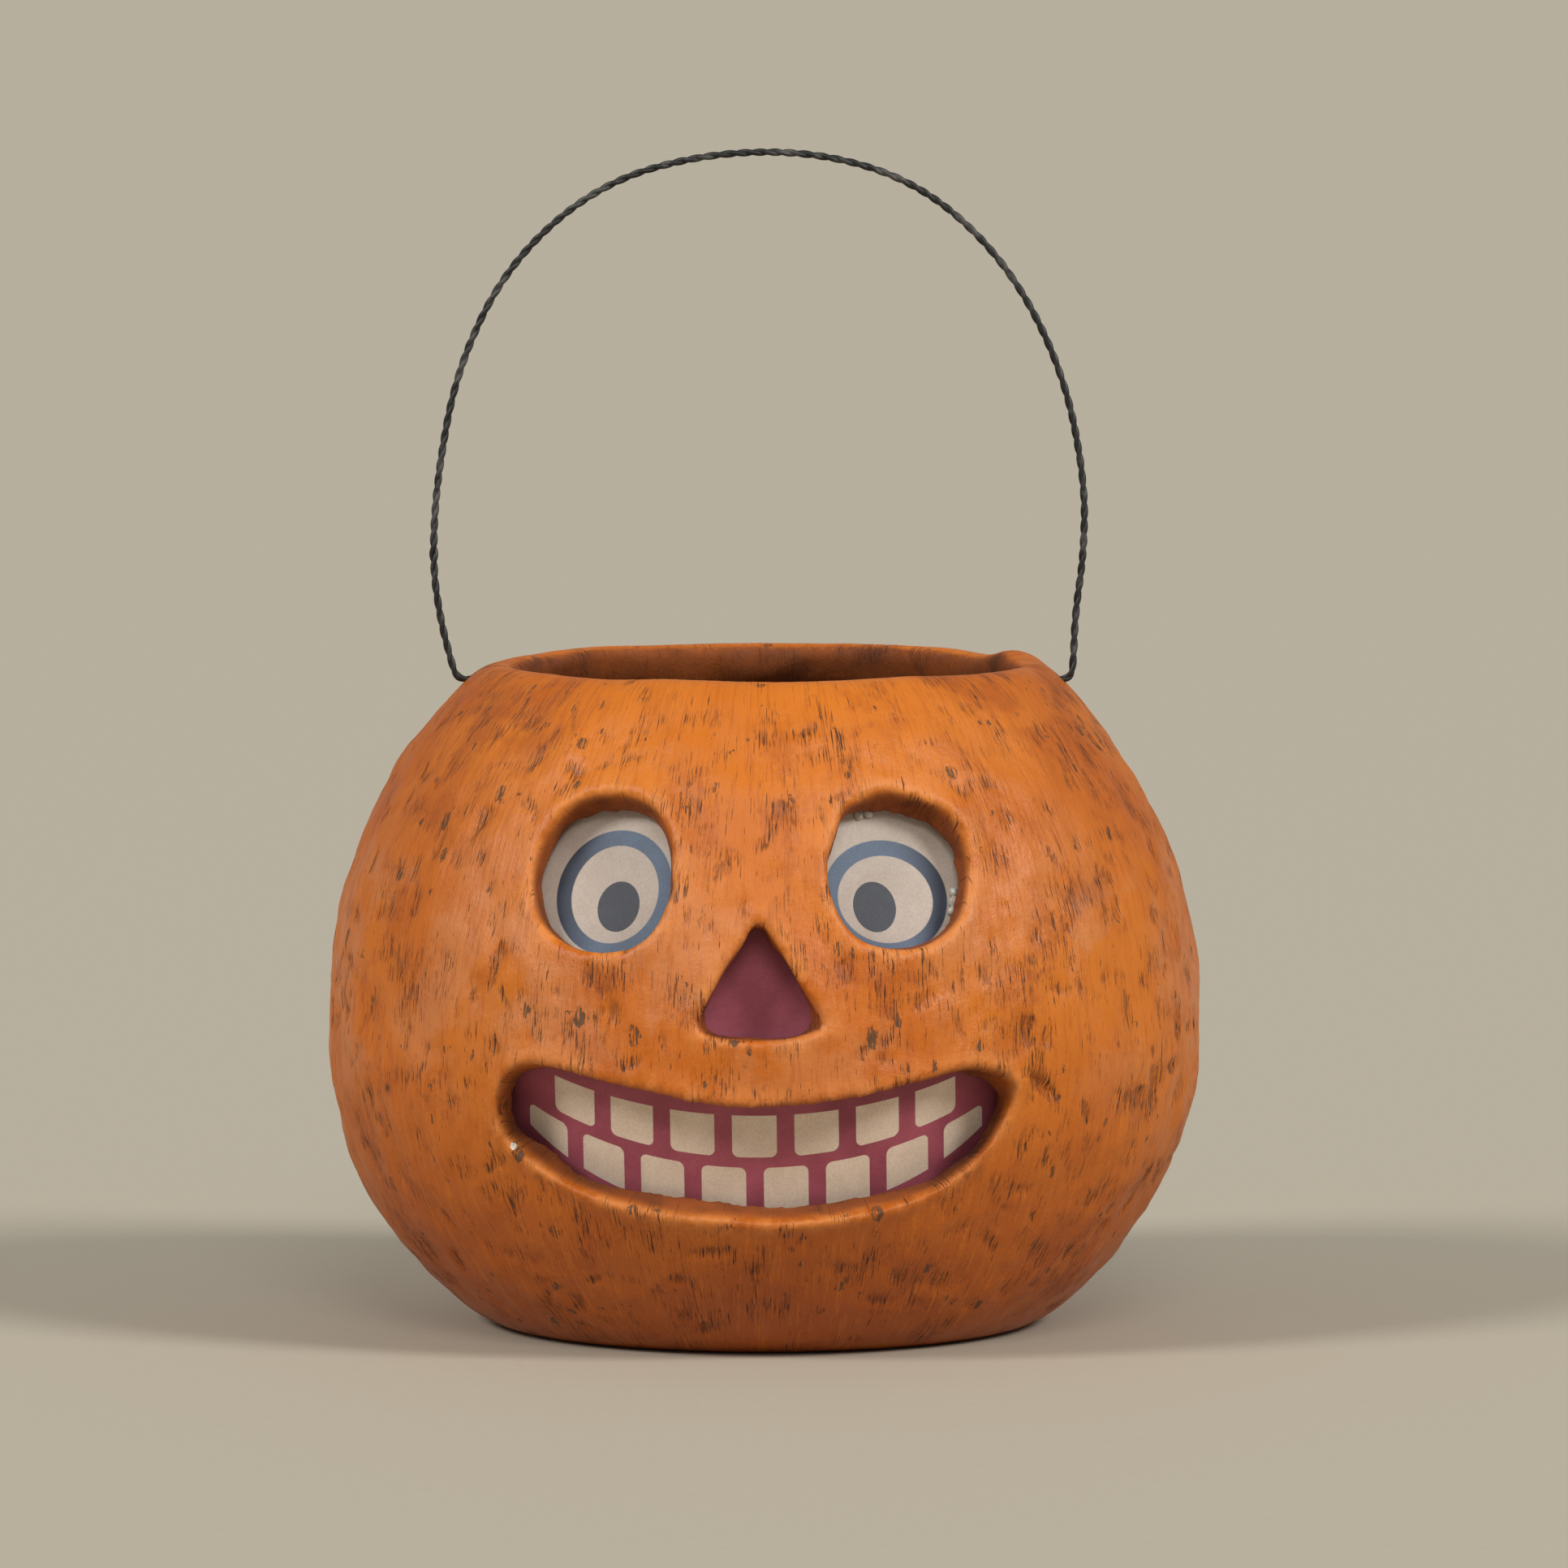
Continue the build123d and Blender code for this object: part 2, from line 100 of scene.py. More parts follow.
MOUTH_INSIDE = [
    (-74.3, -20.3), (-71.3, -28.6), (-62.2, -32.9), (-51.1, -38.6), (-40, -41.6), (-23.8, -43.2),
    (-8.1, -44.2), (10, -45.1), (25.2, -44.8), (39, -43.6), (54, -41.2), (68.3, -35.8), (75.6, -28),
    (80, -21.7), (78.5, -16.6), (71.4, -12), (62, -9.6), (45.7, -9), (27.6, -11.6), (7.7, -13.6),
    (-8, -13.2), (-22.2, -10.8), (-37.3, -8.6), (-50, -7.6), (-58.5, -8.4), (-66, -9.4), (-71.5, -13.5),
]
HOLE_EDGE_SAG = 1.6 * MM
HOLE_INSIDE_SAG = 1.8 * MM

# Moulding of the pulp
PROFILE_STEP = 3 * MM
TURN_STEPS = 224
VOXEL = 1.44 * MM
GRID_TURN = (0.6, 0.4, 0.7)
SMOOTHING_PASSES = 3
LIP_WIDTH = 4.2 * MM
LIP_RISE = 0.7 * MM
NOSE_LIP_LUMPS = 0.4 * MM
UPPER_LIP_RISE = 0.9 * MM
# Width of the painted shade band along the upper lip's edge
UPPER_LIP_SHADE = 1.3 * MM
LOWER_LIP_EXTRA = 0.4 * MM
MID_WALL = 4.5 * MM
DENT_DEPTH = 0.55 * MM
FINE_DENT_DEPTH = 0.16 * MM

# Bumps and dips of the hand-worked rim: azimuth and half width in degrees, and rise in mm
RIM_BUMPS = [
    (-142, 16, 0.5), (-122, 10, -0.3), (155, 28, 0.9), (123, 8, -0.7), (108, 7, 1.4), (30, 14, 0.5),
    (-35, 12, -0.5),
]

# Marks that show in the photograph: azimuth in degrees, height, length, width and depth in mm, and the lean
# from upright in degrees; and the number of small ones scattered all round
HAND_MARKS = [
    (38.5, 67.0, 9.0, 2.6, 1.9, -52), (36.0, 70.5, 7.0, 1.6, 0.8, -70), (-34.0, 70.0, 6.0, 1.6, 0.6, 60),
    (-2.5, 112.0, 5.0, 2.4, 0.7, 12), (-6.0, 121.0, 4.0, 3.0, 0.6, 40), (4.0, 133.0, 5.0, 2.8, 0.5, -30),
    (-4.0, 84.5, 7.0, 2.0, 0.5, 80), (-37.0, 96.0, 11.0, 2.4, 0.7, 15), (-35.0, 88.0, 9.0, 2.2, 0.5, -22),
    (3.5, 12.0, 9.0, 1.1, 0.5, 4), (55.0, 83.0, 9.0, 3.0, 0.6, -10), (62.0, 63.0, 8.0, 3.4, 0.7, 12),
    (-8.0, 28.0, 12.0, 1.8, 0.6, 84), (12.0, 24.0, 10.0, 1.8, 0.5, -82), (-38.0, 48.0, 8.0, 2.2, 0.6, 70),
    (-22.0, 146.0, 6.0, 2.0, 0.6, 82), (8.0, 152.0, 4.0, 2.2, 0.5, 78), (33.0, 138.0, 6.0, 2.6, 0.6, 45),
]
RANDOM_MARKS = 760

# Chips in the front's paint: across, up and radius in mm
PAINT_CHIPS = [(-60.0, 53.0, 0.8)]

# Cards, placed as they are packed, and how far they bow and wave
CARD = 0.6 * MM
EYE_CARD_RADIUS = 24 * MM
EYE_CARD_DEPTH = 11.3 * MM
EYE_CARD_BOW = 0.6 * MM
NOSE_CARD_DEPTH = 11.0 * MM
NOSE_CARD_BOW = 0.4 * MM
NOSE_CARD = [(-18, -15), (0, -15.5), (18, -15), (16.5, -10), (2.6, 16.5), (-2.6, 16.5), (-16.5, -10)]
MOUTH_CARD_LOW = 28 * MM
MOUTH_CARD_HIGH = 74 * MM
MOUTH_CARD_HALF_SWEEP = math.radians(45)
MOUTH_CARD_WAVE = 0.25 * MM
MOUTH_PRINT_RADIUS = 97 * MM
CARD_INSET = WALL + 0.3 * MM

# Ring, white and pupil of each eye's print: middle across and up, half width and half height in mm on the
# card, and how far to its outer side the ring's blue starts to deepen and is deepest, partly as print and
# partly as painted shade of the hole's outer wall
LEFT_OVALS = [(-1.4, -1.9, 14.9, 15.7), (-1.2, -2.3, 11.2, 12.2), (0.2, -5.3, 5.4, 6.3)]
RIGHT_OVALS = [(0.1, -2.8, 15.6, 14.3), (0.0, -3.3, 12.0, 10.9), (-3.0, -5.1, 5.4, 6.3)]
RING_SHADE_START = 3.0
RING_SHADE_END = 13.5

# Teeth of the mouth's print, in mm along and up the card
TEETH_MIDDLE = 1.5
TOOTH_PITCH = 14.95
TOOTH_WIDTH = 10.7
TOOTH_CORNER = 1.6
PRINT_BLUR = 0.1

# Glue: dabs behind the cards, and beads that show at the right eye, across, up and radius in mm
DAB_RADIUS = 3.0 * MM
DAB_HEIGHT = 2.2 * MM
BEAD_HEIGHT = 1.3 * MM
NOSE_DABS = [(-14, -11.5), (14, -11.5), (0, 14)]
RIGHT_EYE_BEADS = [
    (17.4, -2.2, 1.2), (17.2, -4.6, 1.5), (16.4, -6.9, 1.2), (-4.2, 18, 1.3), (-1.8, 18.2, 1.3),
]

# Bail: control points of its line, in mm across and up, from the left tail to the right one
BAIL_ROUTE = [
    (-54.6, 159.0), (-62.0, 159.0), (-71.8, 159.0), (-75.8, 159.2), (-77.2, 163.4), (-79.9, 174.0),
    (-81.8, 188.0), (-80.6, 209.0), (-75.4, 236.5), (-62.6, 262.0), (-40.6, 281.2), (-14.2, 288.8),
    (13.2, 289.2), (38.6, 281.4), (59.4, 262.6), (73.4, 236.5), (79.2, 209.0), (79.0, 190.0),
    (76.9, 175.4), (76.5, 163.4), (75.8, 159.2), (71.8, 159.0), (62.0, 159.0), (54.6, 159.0),
]
STRAND_RADIUS = 0.64 * MM
LAY_RADIUS = 0.32 * MM
TWIST_PITCH = 7.6 * MM
WIRE_STEP = 0.55 * MM
WIRE_SIDES = 10
TAIL_SPREAD = 5.2 * MM
TAIL_REACH = 6 * MM
SWAY_LENGTH = 19 * MM
SWAY_REACH = 0.5 * MM
LEFT_KNEE_ALONG = 52 * MM
KNEE_LENGTH = 2.6 * MM
KNEE_PARTING = 0.18 * MM
WIRE_HOLE_RADIUS = 1.62 * MM
PIVOT_HEIGHT = 159 * MM

# The photograph's frame
PHOTO_PIXELS = 1932
FOCAL_PIXELS = 13000
CAMERA_PLACE = (0, -2.6, 0.342)
CAMERA_PITCH = math.radians(4.595)
PAIL_OFF_CENTRE_PIXELS = 25
CAMERA_YAW = PAIL_OFF_CENTRE_PIXELS / FOCAL_PIXELS

# Studio: the floor's reach in metres, the sky, and each sun's tilt, azimuth and spread in degrees and its
# strength
FLOOR_REACH = 120
SKY_COLOUR = (1, 0.985, 0.96, 1)
SKY_STRENGTH = 0.26
LIGHTS = [
    ("left_light", 54, -58, 15, 1.5), ("right_light", 54, 58, 15, 1.75), ("front_light", 52, 6, 22, 0.55),
]


def srgb(red, green, blue):
    """A display colour, 0 to 255, as the linear colour that a shader takes."""
    shares = [value / 255 for value in (red, green, blue)]
    linear = [share / 12.92 if share < 0.04045 else ((share + 0.055) / 1.055) ** 2.4 for share in shares]
    return (*linear, 1)


ORANGE = srgb(195, 98, 10)
ORANGE_LIGHT = srgb(214, 119, 28)
ORANGE_DEEP = srgb(168, 76, 4)
# Painted shade of the lower body
ORANGE_FOOT_SHADE = srgb(146, 62, 2)
# Worn paint and painted highlight on the lips
ORANGE_WORN_AND_HIGHLIGHT = srgb(232, 144, 70)
# Painted sheen: the pale colour of the lights' reflection on the paint
ORANGE_PAINTED_SHEEN = srgb(210, 140, 92)
WASH_BROWN = srgb(92, 46, 14)
WASH_DARK = srgb(48, 28, 16)
WASH_OLIVE = srgb(74, 58, 40)
INSIDE_BROWN = srgb(152, 76, 22)
INSIDE_DARK = srgb(96, 47, 15)
# Browner paint of the hole walls, darkened further as painted shade
WALL_BROWN_AND_SHADE = srgb(158, 77, 17)
WALL_DARK_AND_SHADE = srgb(108, 52, 14)
BARE_PULP = srgb(226, 214, 198)
CREAM = srgb(200, 187, 174)
CREAM_AGED = srgb(196, 178, 158)
RING_BLUE = srgb(104, 120, 141)
RING_NAVY_AND_SHADE = srgb(62, 71, 86)
PUPIL_SLATE = srgb(80, 84, 92)
RASPBERRY = srgb(178, 88, 104)
RASPBERRY_DEEP = srgb(150, 69, 83)
TOOTH_CREAM = srgb(234, 212, 189)
WIRE_BLACK = srgb(40, 40, 39)
WIRE_GREY = srgb(84, 83, 80)
GLUE_CLEAR = srgb(228, 226, 220)
GLUE_YELLOWED = srgb(208, 200, 180)
FLOOR_PALE = srgb(190, 181, 162)
FLOOR_SPECKLE = srgb(184, 175, 156)


# Node helpers

def feed(socket, value):
    """Links a node's output to an input, or sets the input's own value."""
    if isinstance(value, bpy.types.NodeSocket):
        socket.id_data.links.new(value, socket)
    else:
        socket.default_value = value


def put(tree, kind, values=(), **settings):
    """Adds a shader node with its settings and its inputs, by name or place."""
    node = tree.nodes.new("ShaderNode" + kind)
    for name, setting in settings.items():
        setattr(node, name, setting)
    for name, value in dict(values).items():
        feed(node.inputs[name], value)
    return node


def sums(operation, *values):
    """One step of arithmetic on values, at least one of which comes from a node."""
    tree = next(value.id_data for value in values if isinstance(value, bpy.types.NodeSocket))
    return put(tree, "Math", enumerate(values), operation=operation).outputs[0]


plus = partial(sums, "ADD")
minus = partial(sums, "SUBTRACT")
times = partial(sums, "MULTIPLY")
over = partial(sums, "DIVIDE")
most = partial(sums, "MAXIMUM")


def length_of(first, second):
    """The long side of a right-angled triangle."""
    return sums("SQRT", plus(sums("POWER", first, 2), sums("POWER", second, 2)))


def ease(value, low, high):
    """0 below low, 1 above high and a smooth rise between; the other way round where low is above high."""
    inputs = {"Value": value, "From Min": low, "From Max": high}
    return put(value.id_data, "MapRange", inputs, interpolation_type="SMOOTHSTEP").outputs[0]


def blend(factor, first, second, strength=None):
    """The first colour turned into the second by a factor, which a strength can weaken."""
    if strength:
        factor = times(factor, strength)
    return put(factor.id_data, "Mix", {0: factor, 6: first, 7: second}, data_type="RGBA").outputs[2]


def stored(tree, name, output="Fac"):
    """A value that the mesh carries for each of its points."""
    return put(tree, "Attribute", attribute_name=name).outputs[output]


def frame_place(tree):
    """Where a point lies in the frame, in metres."""
    return put(tree, "TexCoord").outputs["Object"]


def parts(place):
    """The three numbers of a place."""
    return put(place.id_data, "SeparateXYZ", {0: place}).outputs


def print_parts(tree):
    """How far along and up a card's print a point lies, and how far behind it, in mm."""
    return parts(stored(tree, "print_place", "Vector"))


def group_tree(name, inputs, outputs):
    """An empty node group with named number sockets, and its two end nodes."""
    tree = bpy.data.node_groups.new(name, "ShaderNodeTree")
    for label, value in inputs.items():
        tree.interface.new_socket(label, in_out="INPUT", socket_type="NodeSocketFloat").default_value = value
    for label in outputs:
        tree.interface.new_socket(label, in_out="OUTPUT", socket_type="NodeSocketFloat")
    return tree, tree.nodes.new("NodeGroupInput").outputs, tree.nodes.new("NodeGroupOutput").inputs


def use(tree, name, output=0, **values):
    """Places a node group with its own values and gives one of its outputs."""
    node = tree.nodes.new("ShaderNodeGroup")
    node.node_tree = bpy.data.node_groups[name]
    for label, value in values.items():
        feed(node.inputs[label.replace("_", " ")], value)
    return node.outputs[output]


def shader(name):
    """A new material, its tree and its Principled shader."""
    material = bpy.data.materials.new(name)
    material.use_nodes = True
    return material, material.node_tree, material.node_tree.nodes["Principled BSDF"]


def surface(bsdf, colour, rough, height, strength, distance):
    """Gives a shader its colour, its roughness and its bumps."""
    bump = put(bsdf.id_data, "Bump", {"Height": height, "Strength": strength, "Distance": distance})
    feed(bsdf.inputs["Base Color"], colour)
    feed(bsdf.inputs["Roughness"], rough)
    feed(bsdf.inputs["Normal"], bump.outputs[0])


# Shared effects

def make_brush_strokes():
    """Strokes of a dry brush up and down the body: the broken dark ones, and the even run of all of them."""
    sockets = {"Across": 900.0, "Along": 120.0, "Cover": 0.4, "Seed": 0.0}
    tree, given, out = group_tree("brush_strokes", sockets, ["Mask", "Run"])
    x, y, z = parts(frame_place(tree))
    turn = over(times(given["Across"], EQUATOR_RADIUS), length_of(x, y))
    stroke_place = put(tree, "CombineXYZ", {
        0: plus(times(x, turn), given["Seed"]), 1: times(y, turn), 2: times(z, given["Along"]),
    }).outputs[0]
    inputs = {"Vector": stroke_place, "Scale": 1.0, "Detail": 3.0, "Roughness": 0.62}
    strokes = put(tree, "TexNoise", inputs).outputs[0]
    low = minus(0.78, times(given["Cover"], 0.5))
    feed(out["Mask"], ease(strokes, low, plus(low, 0.05)))
    feed(out["Run"], ease(strokes, 0.28, 0.72))


def make_mottle():
    """Cloudy unevenness of hand-laid paint, paper, glue or wire."""
    tree, given, out = group_tree("mottle", {"Scale": 30.0, "Seed": 0.0}, ["Value"])
    inputs = {"Vector": frame_place(tree), "W": given["Seed"], "Scale": given["Scale"]}
    inputs |= {"Detail": 5.0, "Roughness": 0.58, "Distortion": 0.4}
    feed(out["Value"], ease(put(tree, "TexNoise", inputs, noise_dimensions="4D").outputs[0], 0.3, 0.7))


def make_scabs():
    """Ragged upright scabs where dark wash sits in the paint."""
    tree, given, out = group_tree("scabs", {"Scale": 100.0, "Size": 0.2, "Cover": 0.4, "Seed": 0.0}, ["Mask"])
    place = frame_place(tree)
    inputs = {"Vector": place, "W": given["Seed"], "Scale": 620.0, "Detail": 3.0}
    ragged = put(tree, "TexNoise", inputs, noise_dimensions="4D").outputs["Color"]
    shift = put(tree, "VectorMath", {0: ragged, "Scale": 2.6 * MM}, operation="SCALE").outputs[0]
    torn = put(tree, "VectorMath", {0: place, 1: shift}, operation="ADD").outputs[0]
    upright = put(tree, "VectorMath", {0: torn, 1: (1.7, 1.7, 0.9)}, operation="MULTIPLY").outputs[0]
    inputs = {"Vector": upright, "W": given["Seed"], "Scale": given["Scale"]}
    cells = put(tree, "TexVoronoi", inputs, voronoi_dimensions="4D").outputs
    dot = ease(cells["Distance"], given["Size"], times(given["Size"], 0.8))
    chance = put(tree, "SeparateColor", {0: cells["Color"]}).outputs[0]
    feed(out["Mask"], times(dot, sums("LESS_THAN", chance, given["Cover"])))


def make_grain():
    """Fine roughness of dried pulp, paper or scale on wire, as a height."""
    tree, given, out = group_tree("grain", {"Scale": 900.0}, ["Height"])
    inputs = {"Vector": frame_place(tree), "Scale": given["Scale"], "Detail": 4.0, "Roughness": 0.65}
    feed(out["Height"], put(tree, "TexNoise", inputs).outputs[0])


def make_printed_oval():
    """An oval of ink on a card, in the card's own mm, with the slightly soft edge of a print."""
    sockets = {"Centre X": 0.0, "Centre Y": 0.0, "Half Width": 10.0, "Half Height": 10.0}
    tree, given, out = group_tree("printed_oval", sockets, ["Mask"])
    place = print_parts(tree)
    across = over(minus(place[0], given["Centre X"]), given["Half Width"])
    up = over(minus(place[1], given["Centre Y"]), given["Half Height"])
    feed(out["Mask"], ease(length_of(across, up), 1.012, 0.988))


def make_tooth_row():
    """A row of teeth with straight sides between two bowed edges, in the card's own mm."""
    sockets = {"Edge": 50.0, "Bow": 124.0, "Far Edge": 61.0, "Far Bow": 150.0}
    sockets |= {"Side": 1.0, "Offset": 0.0, "Reach": 52.0}
    tree, given, out = group_tree("tooth_row", sockets, ["Mask"])
    place = print_parts(tree)
    aside = minus(place[0], TEETH_MIDDLE)

    def past(edge, bend):
        """How far past a bowed edge a place lies, on the outer side."""
        chord = minus(sums("POWER", bend, 2), sums("POWER", aside, 2))
        height = plus(edge, minus(bend, sums("SQRT", chord)))
        return times(given["Side"], minus(height, place[1]))

    steps = over(minus(aside, given["Offset"]), TOOTH_PITCH)
    off_centre = sums("ABSOLUTE", minus(steps, sums("ROUND", steps)))
    over_side = minus(times(off_centre, TOOTH_PITCH), TOOTH_WIDTH / 2 - TOOTH_CORNER)
    over_edge = plus(past(given["Edge"], given["Bow"]), TOOTH_CORNER)
    outside = length_of(most(over_side, 0), most(over_edge, 0))
    tooth = ease(minus(outside, TOOTH_CORNER), PRINT_BLUR, -PRINT_BLUR)
    cut_off = ease(past(given["Far Edge"], given["Far Bow"]), -PRINT_BLUR, PRINT_BLUR)
    in_row = sums("LESS_THAN", sums("ABSOLUTE", aside), given["Reach"])
    feed(out["Mask"], times(times(tooth, cut_off), in_row))


def make_chip():
    """A ragged chip in the paint of the front, at a place across and up in mm."""
    tree, given, out = group_tree("chip", {"Across": 0.0, "Up": 0.0, "Radius": 1.0}, ["Mask"])
    place = frame_place(tree)
    centre = put(tree, "CombineXYZ", {0: given["Across"], 2: given["Up"]}).outputs[0]
    flat = put(tree, "VectorMath", {0: place, 1: (1 / MM, 0, 1 / MM)}, operation="MULTIPLY").outputs[0]
    reach = put(tree, "VectorMath", {0: flat, 1: centre}, operation="DISTANCE").outputs["Value"]
    ragged = put(tree, "TexNoise", {"Vector": place, "Scale": 1400.0, "Detail": 3.0}).outputs[0]
    chipped = ease(plus(over(reach, given["Radius"]), ragged), 1.55, 1.4)
    feed(out["Mask"], times(chipped, sums("LESS_THAN", parts(place)[1], 0)))


# Finishes

def painted_pulp():
    """Orange paint with a dark wash rubbed back, over lumpy paper pulp; browner inside; with painted shade
    towards the foot and in the holes, and a painted sheen round the middle.
    """
    material, tree, bsdf = shader("painted_pulp")
    inside, hole_wall_and_shade, lip, hollow = (stored(tree, name) for name in ("inside", "hole_wall_and_shade", "lip", "hollow"))
    height = parts(frame_place(tree))[2]
    clouds, patches, blotches, sheen_patches = (
        use(tree, "mottle", Scale=scale, Seed=seed)
        for scale, seed in ((16.0, 1.0), (48.0, 4.0), (120.0, 7.0), (30.0, 27.0))
    )
    streaks = use(tree, "brush_strokes", "Run", Across=560.0, Along=74.0, Seed=3.0)
    hairs = use(tree, "brush_strokes", "Run", Across=1900.0, Along=210.0, Seed=8.0)
    bristles = plus(times(streaks, 0.6), times(hairs, 0.4))

    paint = blend(clouds, ORANGE, ORANGE_LIGHT)
    paint = blend(ease(patches, 0.5, 1.0), paint, ORANGE_DEEP, 0.5)
    # Painted shade: the paint darkens towards the foot, where less light falls.
    paint = blend(ease(height, 85 * MM, 5 * MM), paint, ORANGE_FOOT_SHADE, 0.7)
    # Painted sheen: pale patches in a band round the middle height stand in for the lights' reflection.
    sheen_band = times(ease(height, 52 * MM, 85 * MM), ease(height, 140 * MM, 105 * MM))
    paint = blend(times(sheen_band, ease(sheen_patches, 0.3, 0.8)), paint, ORANGE_PAINTED_SHEEN, 0.42)
    paint = blend(ease(bristles, 0.52, 0.9), paint, ORANGE_DEEP, 0.36)
    paint = blend(ease(bristles, 0.45, 0.1), paint, ORANGE_LIGHT, 0.3)
    # Worn paint and painted highlight: the lips' crests are lighter in patches.
    paint = blend(times(lip, ease(blotches, 0.15, 0.75)), paint, ORANGE_WORN_AND_HIGHLIGHT, 0.55)

    # The wash gathers in hollows and patches, as rubbed brown, broken dashes and ragged pits
    gathered = plus(times(patches, blotches), hollow)
    rubbed = times(ease(gathered, 0.58, 1.2), ease(hairs, 0.1, 0.75))
    paint = blend(rubbed, paint, WASH_BROWN, 0.5)
    fine, broad, scattered = (
        use(tree, "brush_strokes", Across=across, Along=along, Cover=cover, Seed=seed)
        for across, along, cover, seed in (
            (2400.0, 170.0, 0.42, 11.0), (1500.0, 115.0, 0.32, 23.0), (1800.0, 140.0, 0.24, 31.0),
        )
    )
    dashes = most(times(most(fine, broad), ease(gathered, 0.2, 0.75)), scattered)
    paint = blend(dashes, paint, WASH_DARK, 0.9)
    scabs = times(use(tree, "scabs", Scale=92.0, Size=0.25, Cover=0.42, Seed=2.0), ease(hairs, 0.3, 0.52))
    pits = times(use(tree, "scabs", Scale=170.0, Size=0.26, Cover=0.4, Seed=5.0), ease(hairs, 0.42, 0.6))
    pits = most(pits, scabs)
    paint = blend(pits, paint, WASH_OLIVE, 0.86)

    inner = blend(patches, INSIDE_BROWN, INSIDE_DARK)
    inner = blend(dashes, inner, WASH_DARK, 0.5)
    colour = blend(inside, paint, inner)
    # Painted shade, with the browner paint of the holes: the hole walls and a band along the upper lip are
    # darkened.
    colour = blend(hole_wall_and_shade, colour, blend(blotches, WALL_BROWN_AND_SHADE, WALL_DARK_AND_SHADE))
    for across, up, radius in PAINT_CHIPS:
        colour = blend(use(tree, "chip", Across=across, Up=up, Radius=radius), colour, BARE_PULP)

    marks = most(dashes, pits)
    rough = plus(plus(0.36, times(blotches, 0.16)), times(inside, 0.34))
    level = minus(times(use(tree, "grain", Scale=700.0), 0.5), times(marks, 0.6))
    level = minus(level, times(bristles, 0.28))
    feed(bsdf.inputs["Specular IOR Level"], 0.4)
    surface(bsdf, colour, plus(rough, times(marks, 0.2)), level, 0.7, 0.6 * MM)
    return material


def paper_surface(bsdf, inked):
    """Gives a card's print its faint ageing, tooth and matt surface, and leaves the card's back plain."""
    tree = bsdf.id_data
    colour = blend(ease(print_parts(tree)[2], 0.0, CARD / MM), inked, CREAM)
    age = times(use(tree, "mottle", Scale=140.0, Seed=9.0), 0.22)
    inputs = {0: age, 6: colour, 7: CREAM_AGED}
    aged = put(tree, "Mix", inputs, data_type="RGBA", blend_type="MULTIPLY").outputs[2]
    speckle = plus(0.72, times(use(tree, "grain", Scale=1900.0), 0.56))
    speckled = put(tree, "HueSaturation", {"Value": speckle, "Color": aged}).outputs[0]
    grain = use(tree, "grain", Scale=2600.0)
    surface(bsdf, speckled, plus(0.6, times(grain, 0.2)), grain, 0.3, 0.08 * MM)


def raspberry_ink(tree):
    """The uneven raspberry colour of the nose and the gums."""
    return blend(use(tree, "mottle", Scale=60.0, Seed=13.0), RASPBERRY, RASPBERRY_DEEP)


def eye_print(name, ovals, outer):
    """Cream card with a blue ring, deeper on its outer side in print and painted shade, and a slate pupil,
    drawn from the outside in.
    """
    material, tree, bsdf = shader(name)
    # Painted shade, with a deeper print: the ring's blue darkens towards the card's outer side, under the
    # hole's outer wall.
    shade = ease(print_parts(tree)[0], outer * RING_SHADE_START, outer * RING_SHADE_END)
    inks = (blend(shade, RING_BLUE, RING_NAVY_AND_SHADE), CREAM, PUPIL_SLATE)
    colour = CREAM
    for ink, (x, y, half_width, half_height) in zip(inks, ovals):
        place = {"Centre_X": x, "Centre_Y": y, "Half_Width": half_width, "Half_Height": half_height}
        colour = blend(use(tree, "printed_oval", **place), colour, ink)
    paper_surface(bsdf, colour)
    return material


def teeth_print():
    """Raspberry card with two staggered rows of cream teeth."""
    material, tree, bsdf = shader("teeth_print")
    upper = use(tree, "tooth_row", Edge=50.8, Bow=125.0, Far_Edge=61.2, Far_Bow=150.0)
    lower = use(tree, "tooth_row", Edge=48.2, Bow=122.5, Far_Edge=36.1, Far_Bow=90.0, Side=-1.0,
                Offset=TOOTH_PITCH / 2, Reach=4 * TOOTH_PITCH)
    paper_surface(bsdf, blend(most(upper, lower), raspberry_ink(tree), TOOTH_CREAM))
    return material


def raspberry_card():
    """Plain raspberry card."""
    material, tree, bsdf = shader("raspberry_card")
    paper_surface(bsdf, raspberry_ink(tree))
    return material


def clear_glue():
    """Set clear glue, a little yellowed and cloudy."""
    material, tree, bsdf = shader("clear_glue")
    cloud = use(tree, "mottle", Scale=220.0, Seed=17.0)
    feed(bsdf.inputs["Transmission Weight"], 0.3)
    feed(bsdf.inputs["IOR"], 1.48)
    colour = blend(cloud, GLUE_CLEAR, GLUE_YELLOWED)
    surface(bsdf, colour, plus(0.08, times(cloud, 0.14)), use(tree, "grain", Scale=500.0), 0.25, 0.2 * MM)
    return material


def black_wire():
    """Black annealed wire, rubbed greyer in places."""
    material, tree, bsdf = shader("black_wire")
    rubbed = use(tree, "mottle", Scale=160.0, Seed=19.0)
    feed(bsdf.inputs["Metallic"], 0.35)
    colour = blend(ease(rubbed, 0.45, 1.0), WIRE_BLACK, WIRE_GREY)
    surface(bsdf, colour, plus(0.36, times(rubbed, 0.2)), use(tree, "grain", Scale=3200.0), 0.3, 0.06 * MM)
    return material


def pale_floor():
    """Plain pale studio floor."""
    material, tree, bsdf = shader("pale_floor")
    speckle = use(tree, "grain", Scale=260.0)
    feed(bsdf.inputs["Base Color"], blend(speckle, FLOOR_PALE, FLOOR_SPECKLE))
    feed(bsdf.inputs["Roughness"], plus(0.7, times(speckle, 0.1)))
    return material


# Mesh helpers

